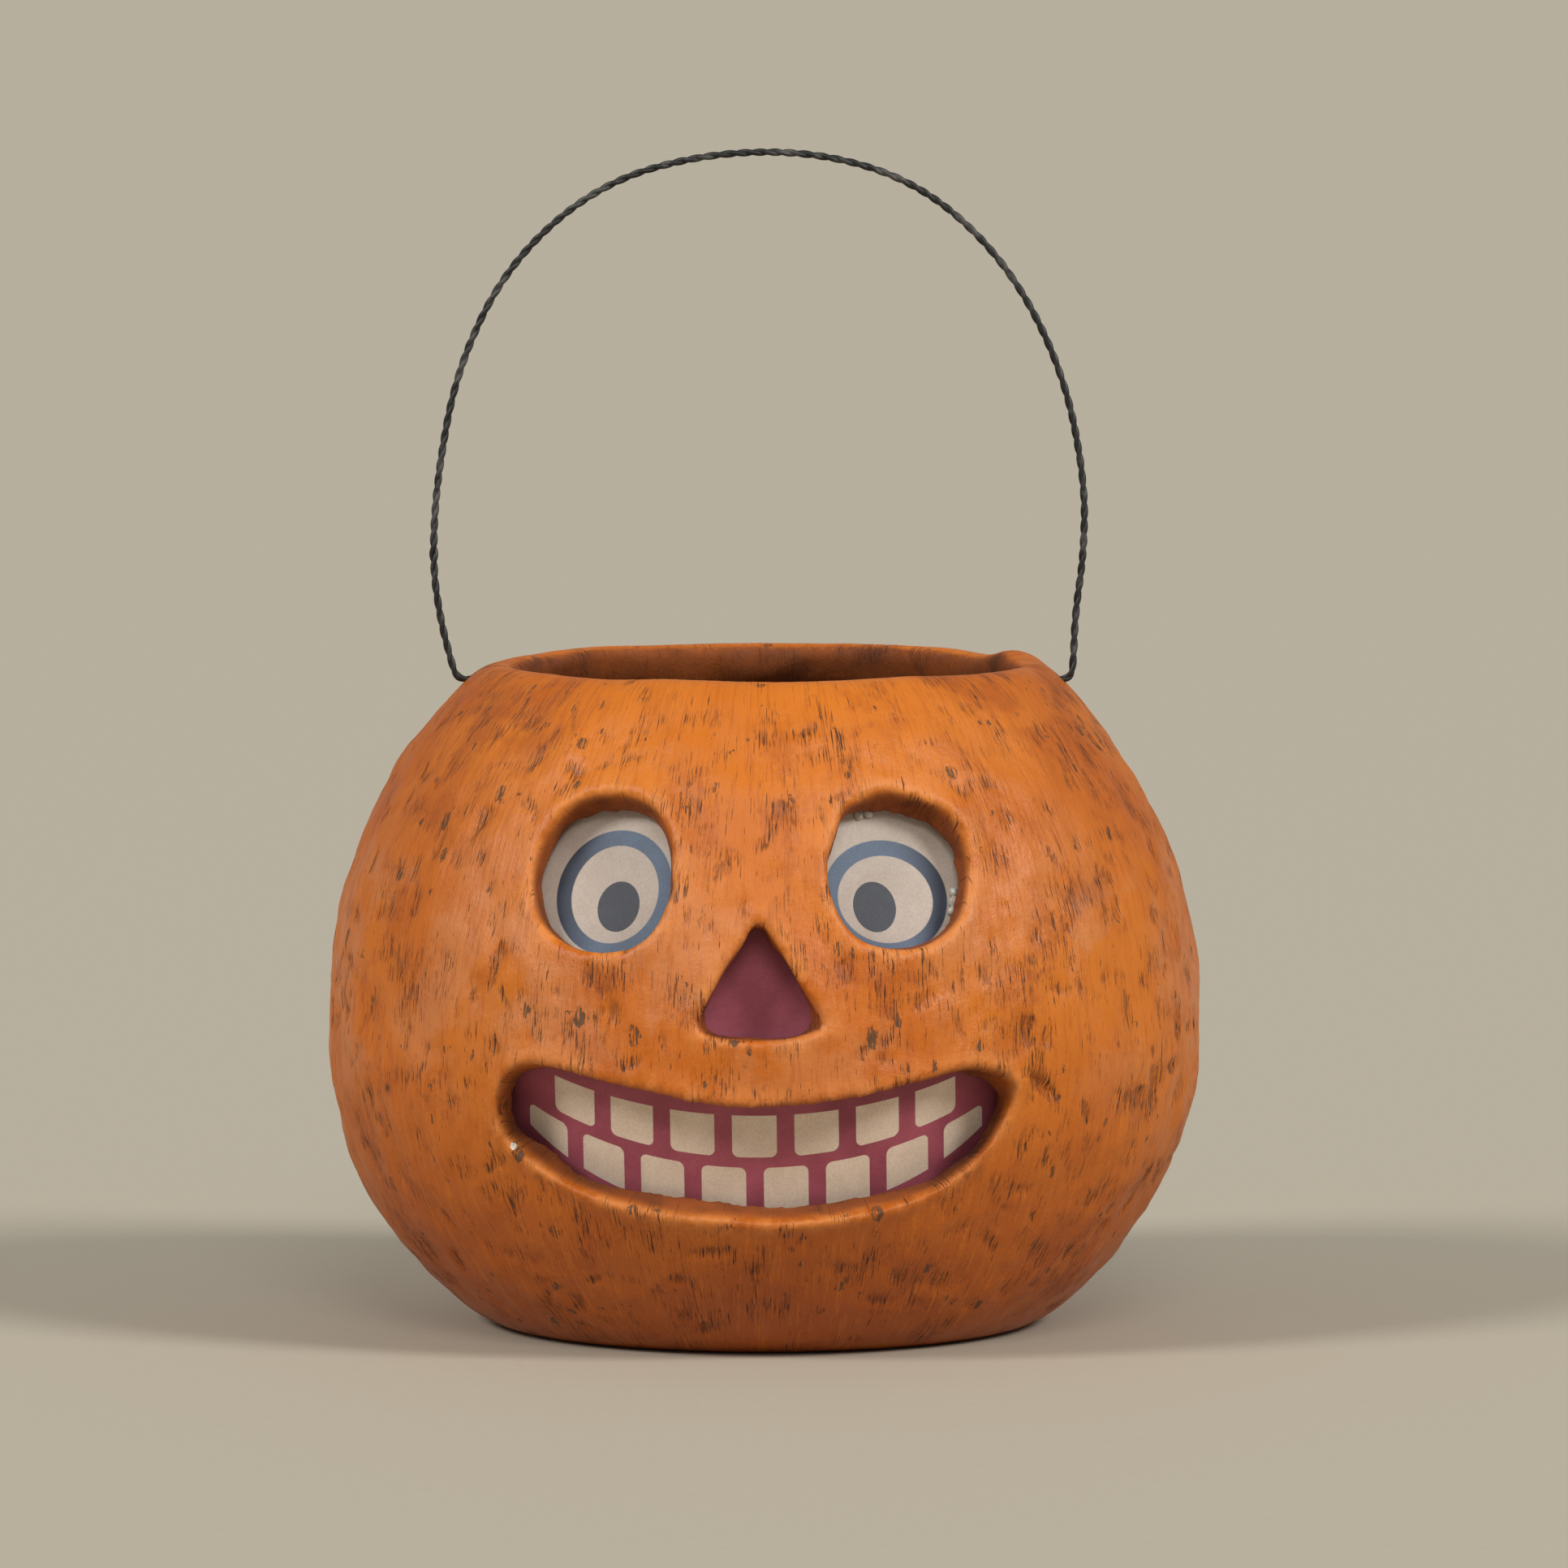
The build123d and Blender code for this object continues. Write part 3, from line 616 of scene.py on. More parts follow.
def add_piece(name, points, faces, material=None):
    """A mesh object in the scene, smooth shaded."""
    mesh = bpy.data.meshes.new(name)
    mesh.from_pydata([tuple(point) for point in points], [], faces)
    mesh.shade_smooth()
    if material:
        mesh.materials.append(material)
    piece = bpy.data.objects.new(name, mesh)
    bpy.context.scene.collection.objects.link(piece)
    return piece


def apply_modifiers(piece):
    """Turns what the modifiers give into the piece's own mesh."""
    mesh = bpy.data.meshes.new_from_object(piece.evaluated_get(bpy.context.evaluated_depsgraph_get()))
    piece.modifiers.clear()
    piece.data = mesh


def cut(piece, cutters):
    """Cuts closed shapes out of a piece and removes them from the scene."""
    for cutter in cutters:
        modifier = piece.modifiers.new("cut", "BOOLEAN")
        modifier.operation = "DIFFERENCE"
        modifier.solver = "MANIFOLD"
        modifier.object = cutter
    apply_modifiers(piece)
    for cutter in cutters:
        bpy.data.objects.remove(cutter)


def mesh_points(mesh):
    """The mesh's points and normals as arrays."""
    points, normals = np.empty((2, 3 * len(mesh.vertices)))
    mesh.vertices.foreach_get("co", points)
    mesh.vertex_normals.foreach_get("vector", normals)
    return points.reshape(-1, 3), normals.reshape(-1, 3)


def store(mesh, name, values):
    """Keeps one number for each point, for the finish to read."""
    mesh.attributes.new(name, "FLOAT", "POINT").data.foreach_set("value", values.astype(np.float32))


def store_print(mesh, places):
    """Keeps each point's place on a card's print and its depth behind the print, in mm."""
    attribute = mesh.attributes.new("print_place", "FLOAT_VECTOR", "POINT")
    attribute.data.foreach_set("vector", np.array(places, dtype=np.float32).ravel())


def lumps(points, size, seed):
    """Smooth noise between about -1 and 1 at each point, with lumps of a size."""
    shift = Vector((seed * 7.31, seed * 3.17, seed * 5.71))
    return np.array([noise.noise(Vector(point) / size + shift) for point in points.tolist()])


def flat_lumps(places, size, seed):
    """The same noise at flat places."""
    return lumps(np.column_stack((places, np.zeros(len(places)))), size, seed)


def smooth_step(values, low, high):
    """0 at low, 1 at high and a smooth rise between, on arrays."""
    share = np.clip((values - low) / (high - low), 0, 1)
    return share * share * (3 - 2 * share)


def unit(rows):
    """Rows of numbers, each scaled to a length of 1."""
    return rows / np.linalg.norm(rows, axis=1)[:, None]


def circle(count):
    """Even ways round a circle, as flat places 1 from its middle."""
    turns = np.linspace(0, 2 * math.pi, count, endpoint=False)
    return np.column_stack((np.cos(turns), np.sin(turns)))


def run_lengths(line):
    """The length of a line up to each of its points."""
    return np.concatenate(([0], np.cumsum(np.linalg.norm(np.diff(line, axis=0), axis=1))))


def points_along(line, runs, places):
    """Points at some lengths along a line."""
    return np.column_stack([np.interp(places, runs, column) for column in line.T])


def smooth_loop(corners, count=120):
    """Even points, in metres, on a closed curve through listed points in mm."""
    sides = len(corners)
    curve = []
    for index in range(sides):
        p0, p1, p2, p3 = (np.array(corners[(index + shift) % sides]) for shift in (-1, 0, 1, 2))
        for t in np.arange(0, 1, 0.1):
            bent = 2 * p1 + (p2 - p0) * t + (2 * p0 - 5 * p1 + 4 * p2 - p3) * t**2
            curve.append((bent + (3 * p1 - p0 - 3 * p2 + p3) * t**3) / 2 * MM)
    curve = np.array(curve + curve[:1])
    runs = run_lengths(curve)
    return points_along(curve, runs, np.linspace(0, runs[-1], count, endpoint=False))


def loop_distance(places, loop):
    """The distance of flat points from a closed line."""
    nearest = np.full(len(places), np.inf)
    for start, end in zip(loop, np.roll(loop, -1, axis=0)):
        run = end - start
        share = np.clip((places - start) @ run / (run @ run), 0, 1)
        nearest = np.minimum(nearest, np.linalg.norm(places - start - share[:, None] * run, axis=1))
    return nearest


def loop_inset(places, loop):
    """How far inside a closed line flat points lie, and 0 outside it."""
    within = np.zeros(len(places), dtype=bool)
    for (x, y), (end_x, end_y) in zip(loop, np.roll(loop, -1, axis=0)):
        if y != end_y:
            level = (y > places[:, 1]) != (end_y > places[:, 1])
            within ^= level & (places[:, 0] < x + (places[:, 1] - y) / (end_y - y) * (end_x - x))
    return np.where(within, loop_distance(places, loop), 0)


def ring_faces(rings, sides, first=0):
    """Faces between closed rings of points that follow one another."""
    faces = []
    for low in range(first, first + (rings - 1) * sides, sides):
        for i in range(sides):
            j = (i + 1) % sides
            faces.append((low + i, low + j, low + sides + j, low + sides + i))
    return faces


def end_faces(rings, sides, first=0):
    """The faces that close the first and the last of such rings."""
    last = first + (rings - 1) * sides
    return [tuple(first + i for i in reversed(range(sides))), tuple(last + i for i in range(sides))]


def thicken(fronts, edge, size):
    """Faces of a sheet whose back repeats its front's points: front, back and the strip round its edge."""
    backs = [tuple(size + index for index in reversed(face)) for face in fronts]
    strip = [(first, size + first, size + second, second) for first, second in zip(edge, edge[1:] + edge[:1])]
    return fronts + backs + strip


def loft(name, rings, material=None):
    """A closed shape through rings of points, from one end to the other."""
    faces = end_faces(len(rings), len(rings[0])) + ring_faces(len(rings), len(rings[0]))
    return add_piece(name, np.concatenate(rings), faces, material)


# Body

UP = np.array((0, 0, 1))


def facing(turn):
    """The level ways to the right and outward at an azimuth of the body."""
    return np.array((math.cos(turn), math.sin(turn), 0)), np.array((math.sin(turn), -math.cos(turn), 0))


def body_radius(heights, inset=0.0):
    """Radius at heights of the body's outer face, or of the face that lies inset from it."""
    heights = np.asarray(heights, dtype=float)
    semi_axis = np.where(heights > EQUATOR_HEIGHT, CROWN_SEMI_AXIS, BELLY_SEMI_AXIS) - inset
    share = np.clip((heights - EQUATOR_HEIGHT) / semi_axis, -1, 1)
    return (EQUATOR_RADIUS - inset) * np.sqrt(1 - share**2)


class FaceSpot:
    """A plane that touches the body's outer face: right, up the slope and outward."""

    def __init__(self, across, height):
        radius = body_radius(height)
        rise = math.atan2((height - EQUATOR_HEIGHT) / CROWN_SEMI_AXIS**2, radius / EQUATOR_RADIUS**2)
        self.right, level_out = facing(across / radius)
        self.centre = radius * level_out + height * UP
        self.out = math.cos(rise) * level_out + math.sin(rise) * UP
        self.up = np.cross(self.out, self.right)

    def points(self, places, out=0.0):
        """Points in space from flat places and a distance outward."""
        places = np.asarray(places)
        return self.centre + places[:, :1] * self.right + places[:, 1:2] * self.up + out * self.out

    def places(self, points):
        """Flat places of points in space, and how far outward they lie."""
        away = points - self.centre
        return np.column_stack((away @ self.right, away @ self.up)), away @ self.out


LEFT_EYE = FaceSpot(LEFT_EYE_ACROSS, EYE_HEIGHT)
RIGHT_EYE = FaceSpot(RIGHT_EYE_ACROSS, EYE_HEIGHT)
NOSE = FaceSpot(NOSE_ACROSS, NOSE_HEIGHT)
MOUTH_RIGHT, MOUTH_OUT = facing(MOUTH_AZIMUTH)
FACE_CENTRE = FACE_CENTRE_HEIGHT * UP


def mouth_points(loop, scale):
    """The mouth's outline carried towards the axis or away from it."""
    flat = EQUATOR_RADIUS * MOUTH_OUT + loop[:, :1] * MOUTH_RIGHT + loop[:, 1:2] * UP
    return FACE_CENTRE + np.reshape(scale, (-1, 1)) * flat


def mouth_scale(loop, inset):
    """The scale at which each point of the mouth's outline lies on the wall, or inset from its outer face."""
    low, high = np.full(len(loop), 0.4), np.full(len(loop), 1.4)
    for _ in range(30):
        middle = (low + high) / 2
        points = mouth_points(loop, middle)
        within = np.hypot(points[:, 0], points[:, 1]) < body_radius(points[:, 2], inset)
        low, high = np.where(within, middle, low), np.where(within, high, middle)
    return low


def mouth_places(points):
    """Flat places of points on the mouth's plane, seen from the axis at the face's centre."""
    away = points - FACE_CENTRE
    scale = EQUATOR_RADIUS / np.maximum(away @ MOUTH_OUT, 1 * MM)
    return np.column_stack((away @ MOUTH_RIGHT * scale, away @ UP * scale))


def bow(start, middle, end, steps=6):
    """Points on a curve that leaves a start for a middle point and comes to an end from it."""
    start, middle, end = map(np.array, (start, middle, end))
    return [
        tuple((1 - t) ** 2 * start + 2 * t * (1 - t) * middle + t * t * end)
        for t in np.linspace(0, 1, steps)
    ]


def wall_profile():
    """Radius and height round the wall, from the base's middle over the rim to the floor's middle."""
    foot, shoulder, throat, heel = 5 * MM, 159.2 * MM, 144 * MM, 17 * MM
    base_round, floor_round = 5 * MM, 9 * MM
    crest, brow, fold = (66 * MM, RIM_HEIGHT), (62 * MM, 159 * MM), (65.6 * MM, 152 * MM)

    def face(start, end, inset=0.0):
        """The outer or the inner face between two heights, a curve about 1.3 times as long as it is high."""
        steps = round(abs(end - start) / PROFILE_STEP * 1.3)
        return [(body_radius(z, inset), float(z)) for z in np.linspace(start, end, steps)]

    outer, inner = face(foot, shoulder), face(throat, heel, WALL)
    base_edge = body_radius(0)
    floor_edge = body_radius(FLOOR, WALL)
    base = [(radius, 0.0) for radius in np.linspace(0, base_edge - base_round, 14)]
    floor = [(radius, FLOOR) for radius in np.linspace(floor_edge - floor_round, 0, 14)]
    profile = base + bow(base[-1], (base_edge, 0), outer[0])[1:-1] + outer
    profile += bow(outer[-1], (69.6 * MM, RIM_HEIGHT), crest)[1:]
    profile += bow(crest, (60.8 * MM, RIM_HEIGHT), brow)[1:]
    profile += bow(brow, (62.6 * MM, 155 * MM), fold)[1:] + inner
    return profile + bow(inner[-1], (floor_edge, FLOOR), floor[0])[1:-1] + floor


def turned(profile, steps):
    """Points and faces of a closed turned shape, from a profile that starts and ends on the axis."""
    rings = profile[1:-1]
    ways = circle(steps)
    points = np.concatenate([np.column_stack((radius * ways, np.full(steps, z))) for radius, z in rings])
    last = (len(rings) - 1) * steps
    low, high = len(points), len(points) + 1
    faces = ring_faces(len(rings), steps)
    for i in range(steps):
        j = (i + 1) % steps
        faces += [(low, j, i), (high, last + i, last + j)]
    return np.vstack((points, (0, 0, profile[0][1]), (0, 0, profile[-1][1]))), faces


def clear_of_wire(points, near, far):
    """0 close to the bail's holes, where the wall is left even for the wire, and 1 away from them."""
    holes = [(side * body_radius(PIVOT_HEIGHT), 0, PIVOT_HEIGHT) for side in (-1, 1)]
    away = np.minimum(*(np.linalg.norm(points - hole, axis=1) for hole in holes))
    return smooth_step(away, near, far)


def mould_by_hand(points):
    """Moves the turned body's points into its uneven hand-made shape."""
    height = points[:, 2]
    radius = np.hypot(points[:, 0], points[:, 1])
    ways = points[:, :2] / np.maximum(radius, 1e-6)[:, None]
    outer_push = 1.0 * MM * lumps(points, 42 * MM, 1) + 0.9 * MM * lumps(points, 18 * MM, 2)
    outer_push *= clear_of_wire(points, 6 * MM, 24 * MM)
    inner_push = 1.2 * MM * lumps(points, 26 * MM, 3)
    inner_push += 1.7 * MM * (np.abs(lumps(points * (1, 1, 1.8), 22 * MM, 4)) - 0.25)
    push = np.where(body_radius(height) - radius < MID_WALL, outer_push, inner_push)
    push *= smooth_step(height, 4 * MM, 22 * MM)
    rise = 0.9 * MM * flat_lumps(ways, 0.45, 5)
    azimuths = np.degrees(np.arctan2(points[:, 0], -points[:, 1]))
    for azimuth, width, amount in RIM_BUMPS:
        away = (azimuths - azimuth + 180) % 360 - 180
        rise += amount * MM * np.exp(-((away / width) ** 2))
    rise *= smooth_step(height, 140 * MM, 160 * MM)
    return points + np.column_stack((ways * push[:, None], rise))


def random_marks():
    """Small dents all round the body, most of them upright, listed as the hand marks are."""
    draw = random.Random(31)
    return [
        (
            draw.uniform(-180, 180), draw.uniform(6, 158), draw.uniform(2.2, 8), draw.uniform(1.6, 3.2),
            draw.uniform(0.2, 0.7), draw.gauss(0, 24) + (90 if draw.random() < 0.2 else 0),
        )
        for _ in range(RANDOM_MARKS)
    ]


def press_marks(points, outer):
    """How deep the tool marks lie at each point, in metres."""
    depth = np.zeros(len(points))
    skin = np.flatnonzero(outer)
    for azimuth, height, length, width, deep, lean in HAND_MARKS + random_marks():
        side, outward = facing(math.radians(azimuth))
        lean = math.radians(lean)
        radius = body_radius(height * MM)
        centre = radius * outward + height * MM * UP
        slope = body_radius(height * MM + 1 * MM) - radius
        upward = slope * outward + 1 * MM * UP
        upward /= np.linalg.norm(upward)
        near = skin[np.linalg.norm(points[skin] - centre, axis=1) < 1.6 * length * MM]
        away = points[near] - centre
        along = away @ (upward * math.cos(lean) + side * math.sin(lean)) / (length * MM / 2)
        across = away @ (side * math.cos(lean) - upward * math.sin(lean)) / (width * MM / 2)
        depth[near] += deep * MM * np.exp(-(along**4) - across**2) * outer[near]
    return depth


def cut_face(shell):
    """Cuts the holes of the face; gives the outlines of the eyes and nose, by spot, and of the mouth."""
    outlines, cutters = {}, []
    for spot, hole, hole_inside in (
        (LEFT_EYE, LEFT_EYE_HOLE, LEFT_EYE_INSIDE), (RIGHT_EYE, RIGHT_EYE_HOLE, RIGHT_EYE_INSIDE),
        (NOSE, NOSE_HOLE, NOSE_INSIDE),
    ):
        outlines[spot] = smooth_loop(hole)
        within = smooth_loop(hole_inside)
        cutters.append(loft("hole", (
            spot.points(within, -2.2 * WALL), spot.points(within, -WALL - HOLE_INSIDE_SAG),
            spot.points(outlines[spot], -HOLE_EDGE_SAG), spot.points(outlines[spot], 2 * WALL),
        )))
    mouth, within = smooth_loop(MOUTH_HOLE, 240), smooth_loop(MOUTH_INSIDE, 240)
    inner_scale, outer_scale = mouth_scale(within, WALL), mouth_scale(mouth, 0)
    cutters.append(loft("mouth", (
        mouth_points(within, 0.82 * inner_scale), mouth_points(within, inner_scale),
        mouth_points(mouth, outer_scale), mouth_points(mouth, 1.2 * outer_scale),
    )))
    cut(shell, cutters)
    return outlines, mouth


def mesh_evenly(shell):
    """Gives the shell small even faces, on a grid turned so that no edge of the shell runs along it."""
    lean = Euler(GRID_TURN).to_matrix().to_4x4()
    shell.data.transform(lean)
    remesh = shell.modifiers.new("remesh", "REMESH")
    remesh.mode = "VOXEL"
    remesh.voxel_size = VOXEL
    smooth = shell.modifiers.new("smooth", "SMOOTH")
    smooth.factor = 0.5
    smooth.iterations = SMOOTHING_PASSES
    apply_modifiers(shell)
    shell.data.transform(lean.inverted())


def hole_edges(points, outer, outlines, mouth):
    """At each point, how near a lip it is, how far it lies in a hole's wall, with painted shade along the
    upper lip, and how far the lip rises.
    """
    lip, hole_wall_and_shade, rise = np.zeros((3, len(points)))

    def mark(near, places, loop):
        """Marks the lip and the wall of one hole, and gives the lip's share at each point near it."""
        edge = np.exp(-((loop_distance(places, loop) / LIP_WIDTH) ** 2)) * outer[near]
        lip[near] = np.maximum(lip[near], edge)
        hole_wall_and_shade[near] = np.maximum(hole_wall_and_shade[near], smooth_step(loop_inset(places, loop), 0.1 * MM, 1.5 * MM))
        return edge

    for spot, loop in outlines.items():
        places, out = spot.places(points)
        near = np.flatnonzero((np.linalg.norm(places, axis=1) < 40 * MM) & (out > -30 * MM))
        edge = mark(near, places[near], loop)
        rise[near] += LIP_RISE * edge
        if spot is NOSE:
            rise[near] += NOSE_LIP_LUMPS * edge * lumps(points[near], 2.4 * MM, 8)
    height = points[:, 2]
    near = np.flatnonzero((points @ MOUTH_OUT > 50 * MM) & (height < 95 * MM) & (height > 14 * MM))
    places = mouth_places(points[near])
    edge = mark(near, places, mouth)
    lower = smooth_step(places[:, 1], -14 * MM, -30 * MM)
    # Painted shade: a dark band along the upper lip's edge, where its underside falls into shade.
    under_lip_shade = np.exp(-((loop_distance(places, mouth) / UPPER_LIP_SHADE) ** 2)) * (1 - lower)
    hole_wall_and_shade[near] = np.maximum(hole_wall_and_shade[near], 0.6 * under_lip_shade)
    rise[near] += (UPPER_LIP_RISE + LOWER_LIP_EXTRA * lower) * edge
    return lip, hole_wall_and_shade, rise


def wire_hole(side):
    """The cutter for one of the bail's holes, on the left or right side."""
    ring = WIRE_HOLE_RADIUS * np.column_stack((np.zeros(20), circle(20)))
    near, far = (ring + (reach, 0, PIVOT_HEIGHT) for reach in sorted((side * 50 * MM, side * 90 * MM)))
    return loft("wire_hole", (near, far))


def moulded_shell():
    """The papier-mache body with its cut face, lips, dents and wire holes."""
    points, faces = turned(wall_profile(), TURN_STEPS)
    shell = add_piece("moulded_shell", mould_by_hand(points), faces)
    outlines, mouth = cut_face(shell)
    mesh_evenly(shell)

    points, normals = mesh_points(shell.data)
    height = points[:, 2].copy()
    depth = body_radius(height) - np.hypot(points[:, 0], points[:, 1])
    outer = smooth_step(depth, MID_WALL, 1.5 * MM)
    semi_axis = np.where(height > EQUATOR_HEIGHT, CROWN_SEMI_AXIS, BELLY_SEMI_AXIS)
    semi_axes = np.column_stack((np.full((len(points), 2), EQUATOR_RADIUS), semi_axis))
    outward = unit((points - (0, 0, EQUATOR_HEIGHT)) / semi_axes**2)
    lip, hole_wall_and_shade, rise = hole_edges(points, outer, outlines, mouth)
    marks = press_marks(points, outer)
    dents = lumps(points, 8.5 * MM, 6)
    dented = DENT_DEPTH * dents + FINE_DENT_DEPTH * lumps(points, 3.6 * MM, 7)
    dented *= smooth_step(height, 2 * MM, 14 * MM) * (0.2 + 0.8 * smooth_step(height, 162 * MM, 148 * MM))
    dented = (dented - marks) * (1 - 0.65 * lip) * clear_of_wire(points, 4 * MM, 20 * MM)
    points += outward * rise[:, None] + normals * dented[:, None]
    points[:, 2] = np.maximum(points[:, 2], 0)
    shell.data.vertices.foreach_set("co", points.ravel())
    shell.data.update()

    radius = np.hypot(points[:, 0], points[:, 1])
    inward = -(points[:, 0] * normals[:, 0] + points[:, 1] * normals[:, 1]) / np.maximum(radius, 1e-6)
    over_rim = smooth_step(points[:, 2], 154 * MM, 158 * MM) * smooth_step(inward, 0.75, 0.3)
    store(shell.data, "inside", smooth_step(depth, 1.4 * MM, 4.2 * MM) * (1 - over_rim))
    store(shell.data, "hole_wall_and_shade", hole_wall_and_shade)
    store(shell.data, "lip", lip)
    store(shell.data, "hollow", np.clip(marks / (0.5 * MM) + 0.5 * smooth_step(dents, -0.25, -0.6), 0, 1))
    cut(shell, [wire_hole(side) for side in (-1, 1)])
    shell.data.materials.clear()
    shell.data.materials.append(painted_pulp())
    shell.data.shade_smooth()
    return shell


# Cards and glue

def flat_card(name, spot, depth, loop, material, warp):
    """A thin card on a plane behind the wall, a little bowed, with its print's places in mm."""
    count, rings = len(loop), 8
    places = np.vstack([np.zeros((1, 2)), *(loop * share for share in np.linspace(0, 1, rings + 1)[1:])])
    bowed = warp * (flat_lumps(places, 30 * MM, 12) - 1) / 2
    front = spot.points(places, -depth) + bowed[:, None] * spot.out
    size = len(places)
    faces = [(0, 1 + i, 1 + (i + 1) % count) for i in range(count)]
    faces += [(a, d, c, b) for a, b, c, d in ring_faces(rings, count, 1)]
    faces = thicken(faces, list(range(size - count, size)), size)
    card = add_piece(name, np.vstack((front, front - CARD * spot.out)), faces, material)
    flat = np.column_stack((places / MM, np.zeros(size)))
    store_print(card.data, np.vstack((flat, flat + (0, 0, CARD / MM))))
    return card


def eye_card(name, spot, seed, material):
    """An eye's card with its hand-cut round outline."""
    ways = circle(72)
    reach = EYE_CARD_RADIUS - 0.8 * MM + 0.6 * MM * flat_lumps(ways, 0.8, seed)
    return flat_card(name, spot, EYE_CARD_DEPTH, ways * reach[:, None], material, EYE_CARD_BOW)


def mouth_card():
    """The printed card bent behind the mouth, its print laid on straight from the front, in mm."""
    steps_along, steps_up = 120, 24
    low, high = (body_radius(height, CARD_INSET) for height in (MOUTH_CARD_LOW, MOUTH_CARD_HIGH))
    points, places, faces = [], [], []
    for inset in (0, CARD):
        for up in np.linspace(0, 1, steps_up):
            height = MOUTH_CARD_LOW + up * (MOUTH_CARD_HIGH - MOUTH_CARD_LOW)
            for turn in np.linspace(-1, 1, steps_along) * MOUTH_CARD_HALF_SWEEP:
                radius = low + up * (high - low) - inset - MOUTH_CARD_WAVE * (1 + math.sin(7 * turn + 2 * up))
                points.append(radius * facing(MOUTH_AZIMUTH + turn)[1] + height * UP)
                along = MOUTH_PRINT_RADIUS * math.asin(radius * math.sin(turn) / MOUTH_PRINT_RADIUS)
                places.append((along / MM, height / MM, inset / MM))
    size = steps_along * steps_up
    for row in range(0, size - steps_along, steps_along):
        corners = range(row, row + steps_along - 1)
        faces += [(i, i + 1, i + steps_along + 1, i + steps_along) for i in corners]
    bottom = range(steps_along - 1)
    right = range(steps_along - 1, size - 1, steps_along)
    top = range(size - 1, size - steps_along, -1)
    left = range(size - steps_along, 0, -steps_along)
    faces = thicken(faces, [*bottom, *right, *top, *left], size)
    card = add_piece("printed_mouth_card", points, faces, teeth_print())
    store_print(card.data, places)
    return card


def glue_dabs(name, dabs, material):
    """Irregular domes of glue, each a centre, the way it bulges and its half sizes."""
    points, faces = [], []
    rings, sides = 9, 18
    for number, (centre, out, radius, height) in enumerate(dabs):
        out = Vector(out).normalized()
        side = out.orthogonal().normalized()
        third = out.cross(side)
        faces += ring_faces(rings, sides, len(points)) + end_faces(rings, sides, len(points))
        for lift in math.pi * ((np.arange(rings) + 0.5) / rings - 0.5):
            for across, up in circle(sides):
                way = (side * across + third * up) * math.cos(lift)
                spot = way * 1.4 + out * math.sin(lift) + Vector((number * 3.1, 0, 0))
                swell = 1 + 0.22 * noise.noise(spot)
                level = math.sin(lift) * (height if lift > 0 else 0.1 * height)
                points.append(Vector(centre) + way * radius * swell + out * level * swell)
    return add_piece(name, points, faces, material)


def back_dabs(spot, depth, places):
    """Dabs at flat places on the back of a card."""
    return [(point, -spot.out, DAB_RADIUS, DAB_HEIGHT) for point in spot.points(places, -depth - CARD)]


def eye_dabs(spot, start):
    """Dabs round the back of an eye card, a sixth of a turn apart."""
    turns = np.radians(start + 60 * np.arange(4))
    places = (EYE_CARD_RADIUS - 1.2 * MM) * np.column_stack((np.cos(turns), np.sin(turns)))
    return back_dabs(spot, EYE_CARD_DEPTH, places)


def seen_beads():
    """Beads of glue that show at the edge of the right eye's card."""
    beads = np.array(RIGHT_EYE_BEADS) * MM
    centres = RIGHT_EYE.points(beads, -EYE_CARD_DEPTH)
    return [(centre, RIGHT_EYE.out, radius, BEAD_HEIGHT) for centre, radius in zip(centres, beads[:, 2])]


def mouth_dabs():
    """Dabs along the mouth card's two long edges, at four azimuths in degrees."""
    dabs = []
    for step in (-39, -13, 13, 39):
        outward = facing(MOUTH_AZIMUTH + math.radians(step))[1]
        for height, lean in ((MOUTH_CARD_LOW, -0.35), (MOUTH_CARD_HIGH, 0.1)):
            radius = body_radius(height, CARD_INSET) - CARD
            dabs.append((outward * radius + UP * height, -outward - lean * UP, DAB_RADIUS, DAB_HEIGHT))
    return dabs


# Bail

def bail_line():
    """Even points along the bail's smooth centre line, and its length up to each."""
    route = np.array(BAIL_ROUTE) * MM
    joints = np.vstack((route[0], (route[1:-2] + route[2:-1]) / 2, route[-1]))
    bends = [bow(*bend, 25)[:-1] for bend in zip(joints, route[1:-1], joints[1:])]
    across, up = np.concatenate((*bends, route[-1:])).T
    curve = np.column_stack((across, np.zeros(len(across)), up))
    runs = run_lengths(curve)
    along = np.linspace(0, runs[-1], round(runs[-1] / WIRE_STEP) + 1)
    return points_along(curve, runs, along), along


def strand(line, along, side):
    """The centre line of one wire of the twisted pair, spread at its two tails."""
    length = along[-1]
    ways = unit(np.gradient(line, along, axis=0))
    across = np.column_stack((-ways[:, 2], np.zeros(len(ways)), ways[:, 0]))
    sway = np.array([noise.noise(Vector((place / SWAY_LENGTH, 4.7, 0))) for place in along])
    sway *= smooth_step(np.minimum(along, length - along), 0, 25 * MM)
    half_turns = round(2 * length / TWIST_PITCH)
    turn = math.pi * half_turns * along / length + 0.9 * sway
    parted = KNEE_PARTING * np.exp(-(((along - LEFT_KNEE_ALONG) / KNEE_LENGTH) ** 2))
    reach = side * (LAY_RADIUS + parted)
    path = line + (reach * np.sin(turn))[:, None] * across
    path[:, 1] += reach * np.cos(turn) + SWAY_REACH * sway
    for tail, way in ((along, side), (length - along, side * (-1) ** half_turns)):
        path[:, 1] += way * TAIL_SPREAD * smooth_step(tail, TAIL_REACH, 0) ** 2
    return path


def wire(name, path, material):
    """A round wire along a path, its ends nipped off."""
    ways = unit(np.gradient(path, axis=0))
    side = np.cross(ways[0], (0.3, 0.2, 1))
    rings = []
    for place, way in zip(path, ways):
        side = side - way * (side @ way)
        side /= np.linalg.norm(side)
        rings.append(place + STRAND_RADIUS * circle(WIRE_SIDES) @ np.array((side, np.cross(way, side))))
    return loft(name, rings, material)


# Assembly

